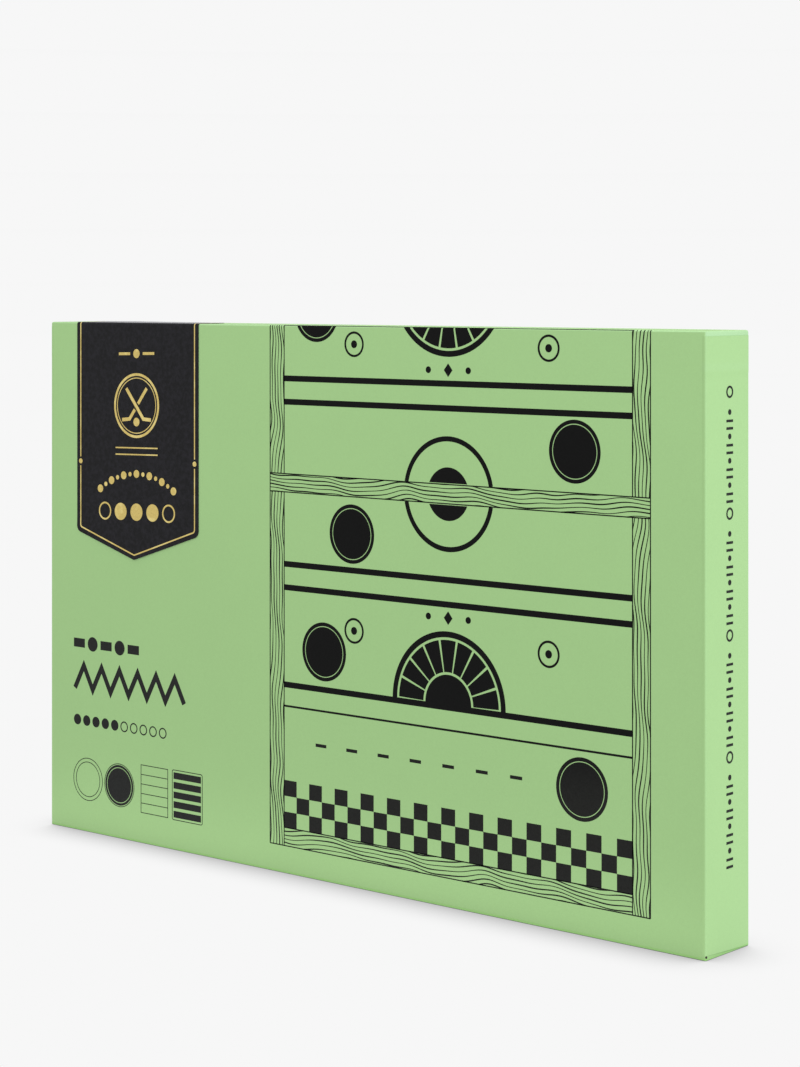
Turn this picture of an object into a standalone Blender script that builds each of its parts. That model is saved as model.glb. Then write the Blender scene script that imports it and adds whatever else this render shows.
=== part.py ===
"""A table hockey game in its box, standing on one long edge.

A rigid lid slides over a rigid tray. Between them lies a wooden board with a rail round it, a
centre bar with a gate, an elastic cord near each end and ten pucks.
Metres, +Z up, with the origin in the middle of the underside. The printed front faces -Y, so
the board's playing surface faces -Y too, and the box opens towards -Y.
"""

from math import pi, radians, sin, tan

import bmesh
import bpy
from mathutils import Matrix, Vector

# The box
box_width = 0.372
box_height = 0.240
box_depth = 0.0315
lid_thickness = 0.0018
tray_thickness = 0.0018
wrapped_edge_radius = 0.0005
lid_fit_at_ends = 0.0006
lid_fit_above = 0.0009
tray_proud_of_lid = 0.0010

# The paper label, which is glued over the lid's upper edge
label_width = 0.0809
label_from_left = 0.0187
label_straight_drop = 0.0973
label_point_drop = 0.0125
label_corner_radius = 0.0033
label_tip_radius = 0.0020
label_turn_over = 0.0165
label_thickness = 0.0003

# The board in the tray
board_fit_at_ends = 0.0028
board_fit_above = 0.0033
board_fit_in_front = 0.0013
side_rail_width = 0.0095
end_rail_width = 0.0090
rail_edge_radius = 0.0009
panel_thickness = 0.0040
panel_set_back = 0.0020
groove_depth = 0.0035
foot_height = 0.0020
foot_diameter = 0.0080
foot_taper = 0.0005
foot_from_end = 0.0120

# The centre bar and its gate
bar_thickness = 0.0090
lap_depth = 0.0100
gate_width = 0.0340
gate_clear_over_puck = 0.0022
gate_corner_radius = 0.0030
bar_edge_radius = 0.0007

# The dowels that pin the end rails between the side rails
dowel_diameter = 0.0050
dowel_into_end_rail = 0.0160
dowel_rows = 2
dowel_chamfer = 0.0005

# The elastic cords
elastic_diameter = 0.0020
elastic_from_end_rail = 0.0600
elastic_above_surface = 0.0035
knot_recess_diameter = 0.0086
knot_recess_depth = 0.0062
knot_diameter = 0.0072
knot_height = 0.0052
knot_shoulder_diameter = 0.0062
knot_shoulder_height = 0.0033
knot_end_diameter = 0.0030

# The pucks
puck_diameter = 0.0280
puck_thickness = 0.0070
puck_chamfer = 0.0008
puck_ring_diameter = 0.0222
puck_ring_width = 0.0010
puck_ring_depth = 0.0004
pucks_per_half = 5

# Clearances, and how far a cutter runs past what it cuts
touch_gap = 0.0003
cut_overrun = 0.0020

# Faces round a turned piece, and steps along a rounded edge
puck_steps = 24
small_steps = 16
edge_segments = 2
arc_steps = 5

# Box and tray, worked out from the sizes above
half_width = box_width / 2
half_depth = box_depth / 2
lid_inner_front = -half_depth + lid_thickness
tray_half_width = half_width - lid_thickness - lid_fit_at_ends
tray_bottom = lid_thickness + touch_gap
tray_top = box_height - lid_thickness - lid_fit_above
tray_floor = half_depth - tray_thickness
tray_rim = lid_inner_front + touch_gap

# Board, worked out from the room that the tray leaves
board_half_length = tray_half_width - tray_thickness - board_fit_at_ends
board_bottom = tray_bottom + tray_thickness + touch_gap
board_top = tray_top - tray_thickness - board_fit_above
foot_back = tray_floor - touch_gap
rail_back = foot_back - foot_height - touch_gap
rail_front = lid_inner_front + board_fit_in_front
panel_back = rail_back - panel_set_back
playing_surface = panel_back - panel_thickness
field_bottom = board_bottom + side_rail_width
field_top = board_top - side_rail_width
field_half_length = board_half_length - end_rail_width
field_middle = (field_bottom + field_top) / 2
tongue = groove_depth - touch_gap

# Elastic cords, worked out from the board
elastic_x = field_half_length - elastic_from_end_rail
elastic_y = playing_surface - elastic_above_surface


def clear_scene():
    """Remove whatever the file holds."""
    for old in list(bpy.data.objects):
        bpy.data.objects.remove(old, do_unlink=True)


def new_collection(name):
    """A collection under the scene's own one."""
    collection = bpy.data.collections.new(name)
    bpy.context.scene.collection.children.link(collection)
    return collection


def new_material(name, colour, roughness):
    """A Principled material of one colour."""
    material = bpy.data.materials.new(name)
    material.use_nodes = True
    shader = material.node_tree.nodes["Principled BSDF"]
    shader.inputs["Base Color"].default_value = (*colour, 1.0)
    shader.inputs["Roughness"].default_value = roughness
    shader.inputs["Metallic"].default_value = 0.0
    material.diffuse_color = (*colour, 1.0)
    return material


clear_scene()
game = new_collection("table_hockey_game")
cutters = new_collection("cutters")

paper_wrap = new_material("green_paper_wrap", (0.342, 0.578, 0.246), 0.62)
label_card = new_material("black_label_paper", (0.022, 0.022, 0.024), 0.55)
tray_paper = new_material("grey_tray_paper", (0.235, 0.225, 0.205), 0.80)
rail_timber = new_material("rail_timber", (0.640, 0.430, 0.235), 0.55)
panel_ply = new_material("panel_plywood", (0.700, 0.520, 0.315), 0.50)
dark_stain = new_material("black_stained_wood", (0.012, 0.012, 0.012), 0.45)
pale_timber = new_material("pale_puck_wood", (0.690, 0.480, 0.270), 0.50)
woven_cord = new_material("black_elastic_cord", (0.018, 0.018, 0.018), 0.85)
soft_pad = new_material("grey_foot_pad", (0.060, 0.060, 0.060), 0.90)


def put(name, data, material, place=(0, 0, 0)):
    """Link an object for a piece of the game at a place."""
    piece = bpy.data.objects.new(name, data)
    piece.location = place
    data.materials.append(material)
    game.objects.link(piece)
    return piece


def carry(piece, carrier):
    """Parent a piece to what carries it, so that its location stays a place in the world."""
    piece.parent = carrier
    piece.matrix_parent_inverse = Matrix.Translation(-carrier.location)


def new_carrier(name, place, carrier=None):
    """An empty on the axis of a joint."""
    empty = bpy.data.objects.new(name, None)
    empty.location = place
    game.objects.link(empty)
    if carrier is not None:
        carry(empty, carrier)
    return empty


def block_mesh(name, size):
    """A box of a size, round its own middle."""
    mesh = bpy.data.meshes.new(name)
    shape = bmesh.new()
    bmesh.ops.create_cube(shape, size=1)
    bmesh.ops.scale(shape, vec=size, verts=shape.verts)
    shape.to_mesh(mesh)
    shape.free()
    return mesh


def block(name, low, high, material):
    """A box between two corners, with its origin in its middle."""
    low, high = Vector(low), Vector(high)
    return put(name, block_mesh(name, high - low), material, (low + high) / 2)


def round_edges(piece, radius):
    """Round every sharp edge of a piece."""
    bevel = piece.modifiers.new("rounded_edges", "BEVEL")
    bevel.width = radius
    bevel.segments = edge_segments
    bevel.limit_method = "ANGLE"
    bevel.angle_limit = radians(40)


def as_cutter(cutter):
    """Keep a cutter out of the model and of the renders."""
    cutters.objects.link(cutter)
    cutter.hide_render = True
    cutter.display_type = "WIRE"
    return cutter


def block_cutter(name, low, high):
    """A box that cuts, between two corners."""
    low, high = Vector(low), Vector(high)
    cutter = bpy.data.objects.new(name, block_mesh(name, high - low))
    cutter.location = (low + high) / 2
    return as_cutter(cutter)


def rod_cutter(name, place, diameter, low, high):
    """A round cutter along Z at a place in X and Y, from a low to a high level."""
    mesh = bpy.data.meshes.new(name)
    shape = bmesh.new()
    bmesh.ops.create_cone(
        shape,
        cap_ends=True,
        segments=small_steps,
        radius1=diameter / 2,
        radius2=diameter / 2,
        depth=high - low,
    )
    shape.to_mesh(mesh)
    shape.free()
    cutter = bpy.data.objects.new(name, mesh)
    cutter.location = (*place, (low + high) / 2)
    return as_cutter(cutter)


def cut(piece, cutter):
    """Take a cutter's shape out of a piece."""
    difference = piece.modifiers.new("cut_" + cutter.name, "BOOLEAN")
    difference.operation = "DIFFERENCE"
    difference.solver = "EXACT"
    difference.object = cutter


def profile_mesh(name, profile, axis):
    """The profile of a turned piece, from points of (radius, level) from top to bottom."""
    mesh = bpy.data.meshes.new(name)
    shape = bmesh.new()
    points = []
    for radius, level in profile:
        place = (radius, 0, level) if axis == "Z" else (radius, -level, 0)
        points.append(shape.verts.new(place))
    for first, second in zip(points, points[1:]):
        shape.edges.new((first, second))
    shape.to_mesh(mesh)
    shape.free()
    return mesh


def turned(name, mesh, steps, axis, material, place):
    """An object that turns a profile into a solid."""
    piece = put(name, mesh, material, place)
    screw = piece.modifiers.new("turned", "SCREW")
    screw.axis = axis
    screw.steps = steps
    screw.render_steps = steps
    screw.use_merge_vertices = True
    screw.merge_threshold = touch_gap / small_steps
    screw.use_normal_flip = axis == "Y"
    return piece


def rounded_outline(corners):
    """Points of a flat outline from corners of (across, up, radius of the corner)."""
    points = []
    for number, (across, up, radius) in enumerate(corners):
        corner = Vector((across, up))
        if radius == 0:
            points.append(corner)
            continue
        before = (Vector(corners[number - 1][:2]) - corner).normalized()
        after = (Vector(corners[(number + 1) % len(corners)][:2]) - corner).normalized()
        half_angle = before.angle(after) / 2
        centre = corner + (before + after).normalized() * radius / sin(half_angle)
        start = corner + before * radius / tan(half_angle) - centre
        turn = (pi - 2 * half_angle) * (-1 if before.cross(after) > 0 else 1)
        for step in range(arc_steps + 1):
            points.append(centre + Matrix.Rotation(turn * step / arc_steps, 2) @ start)
    return points


def outline_curve(name, corners, thickness, edge_radius):
    """A flat outline with thickness, its edges rounded inside the outline."""
    points = rounded_outline(corners)
    curve = bpy.data.curves.new(name, "CURVE")
    curve.dimensions = "2D"
    curve.fill_mode = "BOTH"
    curve.extrude = thickness / 2 - edge_radius
    curve.bevel_depth = edge_radius
    curve.bevel_resolution = 1
    curve.offset = -edge_radius
    spline = curve.splines.new("POLY")
    spline.points.add(len(points) - 1)
    for place, (across, up) in zip(spline.points, points):
        place.co = (across, up, 0, 1)
    spline.use_cyclic_u = True
    return curve


def up_from_flat(thickness_axis):
    """Stand a flat outline up, with its thickness along X or Y and its second axis up."""
    if thickness_axis == "X":
        return Matrix(((0, 0, 1, 0), (1, 0, 0, 0), (0, 1, 0, 0), (0, 0, 0, 1)))
    return Matrix(((1, 0, 0, 0), (0, 0, -1, 0), (0, 1, 0, 0), (0, 0, 0, 1)))


def mesh_from(curve_object, collection):
    """Turn a curve object into a closed mesh object under the same name."""
    bpy.context.view_layer.update()
    graph = bpy.context.evaluated_depsgraph_get()
    mesh = bpy.data.meshes.new_from_object(curve_object.evaluated_get(graph))
    shape = bmesh.new()
    shape.from_mesh(mesh)
    bmesh.ops.remove_doubles(shape, verts=shape.verts, dist=touch_gap / small_steps)
    shape.to_mesh(mesh)
    shape.free()
    name, place = curve_object.name, curve_object.matrix_world.copy()
    bpy.data.objects.remove(curve_object, do_unlink=True)
    piece = bpy.data.objects.new(name, mesh)
    piece.matrix_world = place
    if collection is not None:
        collection.objects.link(piece)
    return piece


def open_box(name, low, high, thickness, open_direction, material):
    """Half of a rigid box: five boards that leave one side open."""
    low, high = Vector(low), Vector(high)
    mesh = block_mesh(name, high - low)
    shape = bmesh.new()
    shape.from_mesh(mesh)
    open_faces = [face for face in shape.faces if face.normal.dot(open_direction) > 0.5]
    bmesh.ops.delete(shape, geom=open_faces, context="FACES_ONLY")
    shape.to_mesh(mesh)
    shape.free()
    box = put(name, mesh, material, (low + high) / 2)
    boards = box.modifiers.new("boards", "SOLIDIFY")
    boards.thickness = thickness
    boards.offset = -1
    boards.use_even_offset = True
    round_edges(box, wrapped_edge_radius)
    return box


def make_box():
    """The tray, and the lid that slides over it from the front."""
    tray = open_box(
        "box_tray",
        (-tray_half_width, tray_rim, tray_bottom),
        (tray_half_width, half_depth, tray_top),
        tray_thickness,
        Vector((0, -1, 0)),
        tray_paper,
    )
    lid = open_box(
        "box_lid",
        (-half_width, -half_depth, 0),
        (half_width, half_depth - tray_proud_of_lid, box_height),
        lid_thickness,
        Vector((0, 1, 0)),
        paper_wrap,
    )
    return tray, lid


def make_label():
    """The paper label: a pennant on the lid's front that turns over its upper edge."""
    left = -half_width + label_from_left
    middle = left + label_width / 2
    right = left + label_width
    shoulder = box_height - label_straight_drop
    tip = shoulder - label_point_drop
    front = -half_depth - touch_gap - label_thickness
    back = front + label_thickness
    over = box_height + touch_gap + label_thickness
    under = over - label_thickness
    turned_end = -half_depth + label_turn_over
    section = [
        (front, over, 0),
        (front, tip - cut_overrun, 0),
        (back, tip - cut_overrun, 0),
        (back, under, 0),
        (turned_end, under, 0),
        (turned_end, over, 0),
    ]
    curve = outline_curve("box_label", section, label_width + 2 * cut_overrun, 0)
    sheet = put("box_label", curve, label_card)
    sheet.matrix_world = Matrix.Translation((middle, 0, 0)) @ up_from_flat("X")
    label = mesh_from(sheet, game)
    pennant = [
        (left, over + cut_overrun, 0),
        (left, shoulder, label_corner_radius),
        (middle, tip, label_tip_radius),
        (right, shoulder, label_corner_radius),
        (right, over + cut_overrun, 0),
    ]
    curve = outline_curve("label_outline", pennant, label_turn_over + 2 * cut_overrun, 0)
    outline = put("label_outline", curve, label_card)
    depth = (front + turned_end) / 2
    outline.matrix_world = Matrix.Translation((0, depth, 0)) @ up_from_flat("Y")
    kept = label.modifiers.new("kept_inside_outline", "BOOLEAN")
    kept.operation = "INTERSECT"
    kept.solver = "EXACT"
    kept.object = as_cutter(mesh_from(outline, None))
    return label


def panel_groove(name, low_x, high_x, low_z, high_z):
    """A cutter for the groove that holds the panel, with a gap on both of its faces."""
    return block_cutter(
        name,
        (low_x, playing_surface - touch_gap, low_z),
        (high_x, panel_back + touch_gap, high_z),
    )


def dowel_levels():
    """Where the dowels lie between the rails' front and the panel's groove."""
    room = playing_surface - rail_front
    return [rail_front + room * (row + 0.5) / dowel_rows for row in range(dowel_rows)]


def make_side_rail(name, low, high, outer, inner):
    """A long rail with its groove, its lap for the centre bar, and its holes.

    outer and inner are the levels of its outer and inner faces.
    """
    rail = block(
        name,
        (-board_half_length, rail_front, low),
        (board_half_length, rail_back, high),
        rail_timber,
    )
    round_edges(rail, rail_edge_radius)
    inward = 1 if inner > outer else -1
    groove_ends = sorted((inner - inward * groove_depth, inner + inward * cut_overrun))
    reach = field_half_length + groove_depth
    cut(rail, panel_groove(name + "_groove", -reach, reach, *groove_ends))
    lap = block_cutter(
        name + "_lap",
        (-bar_thickness / 2 - touch_gap, rail_front - cut_overrun, low - cut_overrun),
        (bar_thickness / 2 + touch_gap, rail_front + lap_depth, high + cut_overrun),
    )
    cut(rail, lap)
    through = (low - cut_overrun, high + cut_overrun)
    recess_ends = sorted((outer - inward * cut_overrun, outer + inward * knot_recess_depth))
    for side in (-1, 1):
        place = (side * elastic_x, elastic_y)
        end = "left" if side < 0 else "right"
        hole = elastic_diameter + 2 * touch_gap
        cut(rail, rod_cutter(f"{name}_{end}_cord_hole", place, hole, *through))
        cut(rail, rod_cutter(f"{name}_{end}_recess", place, knot_recess_diameter, *recess_ends))
        for row, level in enumerate(dowel_levels()):
            place = (side * (board_half_length - end_rail_width / 2), level)
            hole = dowel_diameter + 2 * touch_gap
            cut(rail, rod_cutter(f"{name}_{end}_dowel_hole_{row}", place, hole, *through))
    return rail


def make_end_rail(name, side):
    """A short rail between the side rails, grooved for the panel and bored for its dowels."""
    ends_x = sorted((side * field_half_length, side * board_half_length))
    low = field_bottom + touch_gap
    high = field_top - touch_gap
    rail = block(
        name,
        (ends_x[0], rail_front, low),
        (ends_x[1], rail_back, high),
        rail_timber,
    )
    round_edges(rail, rail_edge_radius)
    deep = side * (field_half_length + groove_depth)
    groove_x = sorted((deep, side * (field_half_length - cut_overrun)))
    cut(rail, panel_groove(name + "_groove", *groove_x, low - cut_overrun, high + cut_overrun))
    place_x = side * (board_half_length - end_rail_width / 2)
    hole = dowel_diameter + 2 * touch_gap
    bottom_end = field_bottom + dowel_into_end_rail + touch_gap
    top_end = field_top - dowel_into_end_rail - touch_gap
    for row, level in enumerate(dowel_levels()):
        place = (place_x, level)
        lower = rod_cutter(f"{name}_lower_bore_{row}", place, hole, low - cut_overrun, bottom_end)
        upper = rod_cutter(f"{name}_upper_bore_{row}", place, hole, top_end, high + cut_overrun)
        cut(rail, lower)
        cut(rail, upper)
    return rail


def make_panel():
    """The playing panel, whose four edges sit in the rails' grooves."""
    reach = field_half_length + tongue
    return block(
        "playing_panel",
        (-reach, playing_surface, field_bottom - tongue),
        (reach, panel_back, field_top + tongue),
        panel_ply,
    )


def make_centre_bar():
    """The bar across the middle, lapped into both side rails, with the gate through it."""
    front = rail_front
    lap_back = rail_front + lap_depth - touch_gap
    foot = playing_surface - touch_gap
    gate_back = playing_surface - puck_thickness - gate_clear_over_puck
    low = field_bottom + touch_gap
    high = field_top - touch_gap
    gate_low = field_middle - gate_width / 2
    gate_high = field_middle + gate_width / 2
    corners = [
        (front, board_bottom, 0),
        (front, board_top, 0),
        (lap_back, board_top, 0),
        (lap_back, high, 0),
        (foot, high, 0),
        (foot, gate_high, 0),
        (gate_back, gate_high, gate_corner_radius),
        (gate_back, gate_low, gate_corner_radius),
        (foot, gate_low, 0),
        (foot, low, 0),
        (lap_back, low, 0),
        (lap_back, board_bottom, 0),
    ]
    curve = outline_curve("centre_bar", corners, bar_thickness, bar_edge_radius)
    bar = put("centre_bar", curve, rail_timber)
    bar.matrix_world = up_from_flat("X")
    return bar


def make_dowels():
    """Two dowels in each corner, through a side rail and into an end rail."""
    length = side_rail_width + dowel_into_end_rail
    radius = dowel_diameter / 2
    profile = [
        (0, length / 2),
        (radius - dowel_chamfer, length / 2),
        (radius, length / 2 - dowel_chamfer),
        (radius, -length / 2 + dowel_chamfer),
        (radius - dowel_chamfer, -length / 2),
        (0, -length / 2),
    ]
    mesh = profile_mesh("dowel", profile, "Z")
    dowels = []
    for side, end in ((-1, "left"), (1, "right")):
        place_x = side * (board_half_length - end_rail_width / 2)
        for edge, middle in (
            ("lower", board_bottom + length / 2),
            ("upper", board_top - length / 2),
        ):
            for row, level in enumerate(dowel_levels()):
                name = f"dowel_{edge}_{end}_{row + 1}"
                place = (place_x, level, middle)
                dowels.append(turned(name, mesh, small_steps, "Z", pale_timber, place))
    return dowels


def make_feet():
    """Four pads under the side rails, which keep the board off the tray's floor."""
    radius = foot_diameter / 2
    profile = [
        (0, foot_height / 2),
        (radius, foot_height / 2),
        (radius - foot_taper, -foot_height / 2),
        (0, -foot_height / 2),
    ]
    mesh = profile_mesh("foot", profile, "Y")
    feet = []
    for side, end in ((-1, "left"), (1, "right")):
        for edge, level in (
            ("lower", board_bottom + side_rail_width / 2),
            ("upper", board_top - side_rail_width / 2),
        ):
            place = (
                side * (board_half_length - foot_from_end),
                foot_back - foot_height / 2,
                level,
            )
            name = f"foot_{edge}_{end}"
            feet.append(turned(name, mesh, small_steps, "Y", soft_pad, place))
    return feet


def make_elastic(side, end):
    """A cord from one knot's recess to the other, across the board."""
    low = board_bottom + knot_recess_depth
    high = board_top - knot_recess_depth
    name = f"elastic_{end}"
    curve = bpy.data.curves.new(name, "CURVE")
    curve.dimensions = "3D"
    curve.bevel_depth = elastic_diameter / 2
    curve.bevel_resolution = 2
    curve.use_fill_caps = True
    spline = curve.splines.new("POLY")
    spline.points.add(2)
    half_length = (high - low) / 2
    for point, level in zip(spline.points, (-half_length, 0, half_length)):
        point.co = (0, 0, level, 1)
    place = (side * elastic_x, elastic_y, (low + high) / 2)
    return put(name, curve, woven_cord, place)


def make_knots(side, end):
    """The knots that hold a cord in the recesses of both side rails."""
    height = knot_height
    profile = [
        (0, height / 2),
        (knot_end_diameter / 2, height / 2),
        (knot_shoulder_diameter / 2, knot_shoulder_height / 2),
        (knot_diameter / 2, 0),
        (knot_shoulder_diameter / 2, -knot_shoulder_height / 2),
        (knot_end_diameter / 2, -height / 2),
        (0, -height / 2),
    ]
    mesh = profile_mesh(f"knot_{end}", profile, "Z")
    inset = knot_recess_depth - touch_gap - height / 2
    knots = []
    for edge, level in (("lower", board_bottom + inset), ("upper", board_top - inset)):
        place = (side * elastic_x, elastic_y, level)
        name = f"elastic_knot_{edge}_{end}"
        knots.append(turned(name, mesh, small_steps, "Z", woven_cord, place))
    return knots


def puck_profile():
    """Half a section of a puck with a ring cut into both faces."""
    radius = puck_diameter / 2
    half = puck_thickness / 2
    ring_in = puck_ring_diameter / 2 - puck_ring_width / 2
    ring_out = puck_ring_diameter / 2 + puck_ring_width / 2
    floor = half - puck_ring_depth
    face = [
        (0, half),
        (ring_in, half),
        (puck_ring_diameter / 2, floor),
        (ring_out, half),
        (radius - puck_chamfer, half),
        (radius, half - puck_chamfer),
    ]
    return face + [(across, -level) for across, level in reversed(face)]


def rows_in_lanes(lanes, full_by_the_bar):
    """How many pucks stand in each lane, counted from the bar."""
    rows = [pucks_per_half // lanes] * lanes
    for lane in range(pucks_per_half % lanes):
        rows[lane] += 1
    return rows if full_by_the_bar else rows[::-1]


def make_pucks(name, side, material, board):
    """The pucks of one half, stacked in lanes on the lower rail.

    A puck that stands on another is carried by it, so the two travel together.
    """
    mesh = profile_mesh(name, puck_profile(), "Y")
    pitch = puck_diameter + touch_gap
    bar_side = bar_thickness / 2 + touch_gap
    room = elastic_x - elastic_diameter / 2 - bar_side
    lanes = int(room / pitch)
    depth = playing_surface - touch_gap - puck_thickness / 2
    number = 0
    for lane, rows in enumerate(rows_in_lanes(lanes, side < 0)):
        below = board
        for row in range(rows):
            number += 1
            place = (
                side * (bar_side + (lane + 0.5) * room / lanes),
                depth,
                field_bottom + touch_gap + puck_diameter / 2 + row * pitch,
            )
            puck = turned(f"{name}_{number}", mesh, puck_steps, "Y", material, place)
            carry(puck, below)
            below = puck


tray, lid = make_box()
label = make_label()
board = new_carrier("board_lift", (0, rail_back, board_bottom))
lid_carrier = new_carrier("lid_lift", (0, -half_depth, box_height / 2), board)
carry(lid, lid_carrier)
carry(label, lid_carrier)

board_pieces = [
    make_side_rail("side_rail_lower", board_bottom, field_bottom, board_bottom, field_bottom),
    make_side_rail("side_rail_upper", field_top, board_top, board_top, field_top),
    make_end_rail("end_rail_left", -1),
    make_end_rail("end_rail_right", 1),
    make_panel(),
    make_centre_bar(),
    *make_dowels(),
    *make_feet(),
]
for half_side, half_end in ((-1, "left"), (1, "right")):
    board_pieces.extend(make_knots(half_side, half_end))
    pull = new_carrier(
        f"elastic_pull_{half_end}", (half_side * elastic_x, elastic_y, field_middle), board
    )
    carry(make_elastic(half_side, half_end), pull)
for board_piece in board_pieces:
    carry(board_piece, board)

make_pucks("dark_puck", -1, dark_stain, board)
make_pucks("light_puck", 1, pale_timber, board)
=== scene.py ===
"""The looks of a boxed table hockey game, and the studio that it stands in.

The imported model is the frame. On it come the paper wrap of the lid and the tray, the print and
the label, the wood of the board with its printed rink, the braided elastics with their knots,
and the turned pucks. Metres throughout, in the frame's own place.
"""

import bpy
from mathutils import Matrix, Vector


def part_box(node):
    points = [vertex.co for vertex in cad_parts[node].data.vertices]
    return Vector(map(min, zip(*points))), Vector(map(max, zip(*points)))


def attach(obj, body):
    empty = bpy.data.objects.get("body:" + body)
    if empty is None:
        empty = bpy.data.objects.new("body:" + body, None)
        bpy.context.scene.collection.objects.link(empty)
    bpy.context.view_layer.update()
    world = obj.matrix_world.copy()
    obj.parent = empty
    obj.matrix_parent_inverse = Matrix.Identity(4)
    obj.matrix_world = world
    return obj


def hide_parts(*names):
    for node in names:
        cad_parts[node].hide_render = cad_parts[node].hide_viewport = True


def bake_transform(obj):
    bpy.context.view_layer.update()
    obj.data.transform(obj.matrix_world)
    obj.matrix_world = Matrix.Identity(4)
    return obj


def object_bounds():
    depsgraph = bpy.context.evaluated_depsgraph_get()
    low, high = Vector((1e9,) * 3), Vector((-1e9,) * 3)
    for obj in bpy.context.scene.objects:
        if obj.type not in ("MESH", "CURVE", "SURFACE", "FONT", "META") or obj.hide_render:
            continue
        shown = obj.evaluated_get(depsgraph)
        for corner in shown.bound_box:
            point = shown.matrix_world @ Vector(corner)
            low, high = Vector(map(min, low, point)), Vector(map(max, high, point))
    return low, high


bl_info = {
    "name": "Boxed table hockey game",
    "version": (1, 0, 0),
    "blender": (4, 5, 0),
    "location": "3D View > Sidebar > Table hockey",
    "description": "Paper, print, wood, cords and pucks for a boxed table hockey game",
    "category": "Object",
}

from bisect import bisect_right
from math import cos, exp, pi, radians, sin

import bmesh
import bpy
from bpy.props import FloatProperty, FloatVectorProperty, PointerProperty
from bpy.types import Operator, Panel, PropertyGroup
from mathutils import Matrix, Vector

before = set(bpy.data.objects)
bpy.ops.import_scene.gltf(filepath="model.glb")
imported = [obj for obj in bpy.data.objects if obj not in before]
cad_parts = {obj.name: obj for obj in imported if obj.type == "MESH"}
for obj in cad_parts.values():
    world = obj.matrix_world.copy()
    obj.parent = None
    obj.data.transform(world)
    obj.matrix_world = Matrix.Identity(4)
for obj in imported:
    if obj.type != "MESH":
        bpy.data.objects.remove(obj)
cad_low, cad_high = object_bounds()

lid_low, lid_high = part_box("box_lid")
label_low, label_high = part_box("box_label")
tray_low, tray_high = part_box("box_tray")
panel_low, panel_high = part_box("playing_panel")
rail_low, rail_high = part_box("side_rail_lower")
upper_rail_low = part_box("side_rail_upper")[0]
board_end = -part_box("end_rail_left")[0].x
bar_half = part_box("centre_bar")[1].x

# The field lies between the rails, and the panel's edges go on into their grooves.
panel_tongue = 0.0032
rail_width = rail_high.z - rail_low.z
field_half = (upper_rail_low.z - rail_high.z) / 2
field_middle = (rail_high.z + upper_rail_low.z) / 2
field_end = panel_high.x - panel_tongue

# The box's walls, and how far a thin layer is sunk into what it lies on, or stands off it.
greyboard = 0.0018
skin = 0.00002


def length(name, description, default):
    """A property that holds a length."""
    return FloatProperty(
        name=name, description=description, default=default, min=0.0, unit="LENGTH", precision=5
    )


def angle(name, description, default):
    """A property that holds an angle."""
    return FloatProperty(name=name, description=description, default=default, subtype="ANGLE")


def amount(name, description, default):
    """A property that holds a plain number."""
    return FloatProperty(name=name, description=description, default=default, min=0.0)


def power(name, default):
    """A property that holds the power of a light."""
    return FloatProperty(name=name, description="Power", default=default, unit="POWER")


def colour(name, description, default):
    """A property that holds a colour."""
    return FloatVectorProperty(
        name=name, description=description, default=default, subtype="COLOR", min=0.0, max=1.0
    )


class HockeyPaper(PropertyGroup):
    """The papers and inks of the box."""

    green: colour("Green wrap", "Colour of the printed wrap", (0.3220, 0.5290, 0.2190))
    # Paler along the folds: rubbed wear, and a painted highlight along the upper folds.
    worn_and_highlit: colour("Worn edge", "Colour of the wrap along its folds", (0.4300, 0.6900, 0.3400))
    # Painted highlight: the lighter green of the end's strip above each lap.
    strip: colour("Bare strip", "Colour of the wrap above the laps", (0.3560, 0.5700, 0.2880))
    # Painted shade: the darker, more saturated green where the rounded foot faces the floor.
    foot: colour("Foot edge", "Colour of the wrap along the box's foot", (0.2550, 0.5230, 0.1410))
    # Painted shade beside each lap: below its lower edge and along its upper edge.
    shaded: colour("Under the lap", "Colour of the wrap beside a lap", (0.1900, 0.3700, 0.1150))
    # Painted shade: the dark of the small hole where the folds meet at a lower corner.
    corner_hole_shade: colour("Notch", "Colour in the gap at a corner", (0.0300, 0.0260, 0.0160))
    lining: colour("Lining", "Colour of the grey paper inside", (0.235, 0.225, 0.205))
    ink: colour("Ink", "Colour of the plan's black print", (0.0040, 0.0042, 0.0040))
    low_ink: colour("Low ink", "Colour of the plan's print near its foot", (0.0170, 0.0177, 0.0160))
    soft_ink: colour("Soft ink", "Colour of the dark grey print", (0.0225, 0.0237, 0.0225))
    card: colour("Label", "Colour of the black label paper", (0.0080, 0.0080, 0.0092))
    cloud: colour("Label cloud", "Colour of the label's paler clouds", (0.0148, 0.0140, 0.0182))
    foil: colour("Foil", "Colour of the gold foil", (0.610, 0.470, 0.145))
    # Painted highlight: the brighter gold painted where the foil seems to catch light.
    glint: colour("Foil glint", "Colour of the gold foil where it shines", (0.800, 0.670, 0.260))
    edge_radius: length("Edge radius", "Rounding of the box's folded edges", 0.00088)
    paper: length("Paper", "Thickness of the wrap where it laps over itself", 0.00012)
    print_height: length("Print height", "How far the print stands on its paper", 0.00003)
    liner: length("Liner", "Thickness of the paper that lines the tray", 0.00018)
    turn_in: length("Turn-in", "How far the wrap is folded into the box", 0.0120)
    label_paper: length("Label paper", "Thickness of the label", 0.00020)
    label_lift: length("Label lift", "How far the label's tip stands off the lid", 0.00034)
    label_rise: length("Label rise", "How far the label's rear edge stands off the lid", 0.00024)
    label_point: length("Label point", "Height of the label's pointed end", 0.0125)
    label_lean: amount("Label lean", "Rise of the label's lines from left to right", 0.024)


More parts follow.
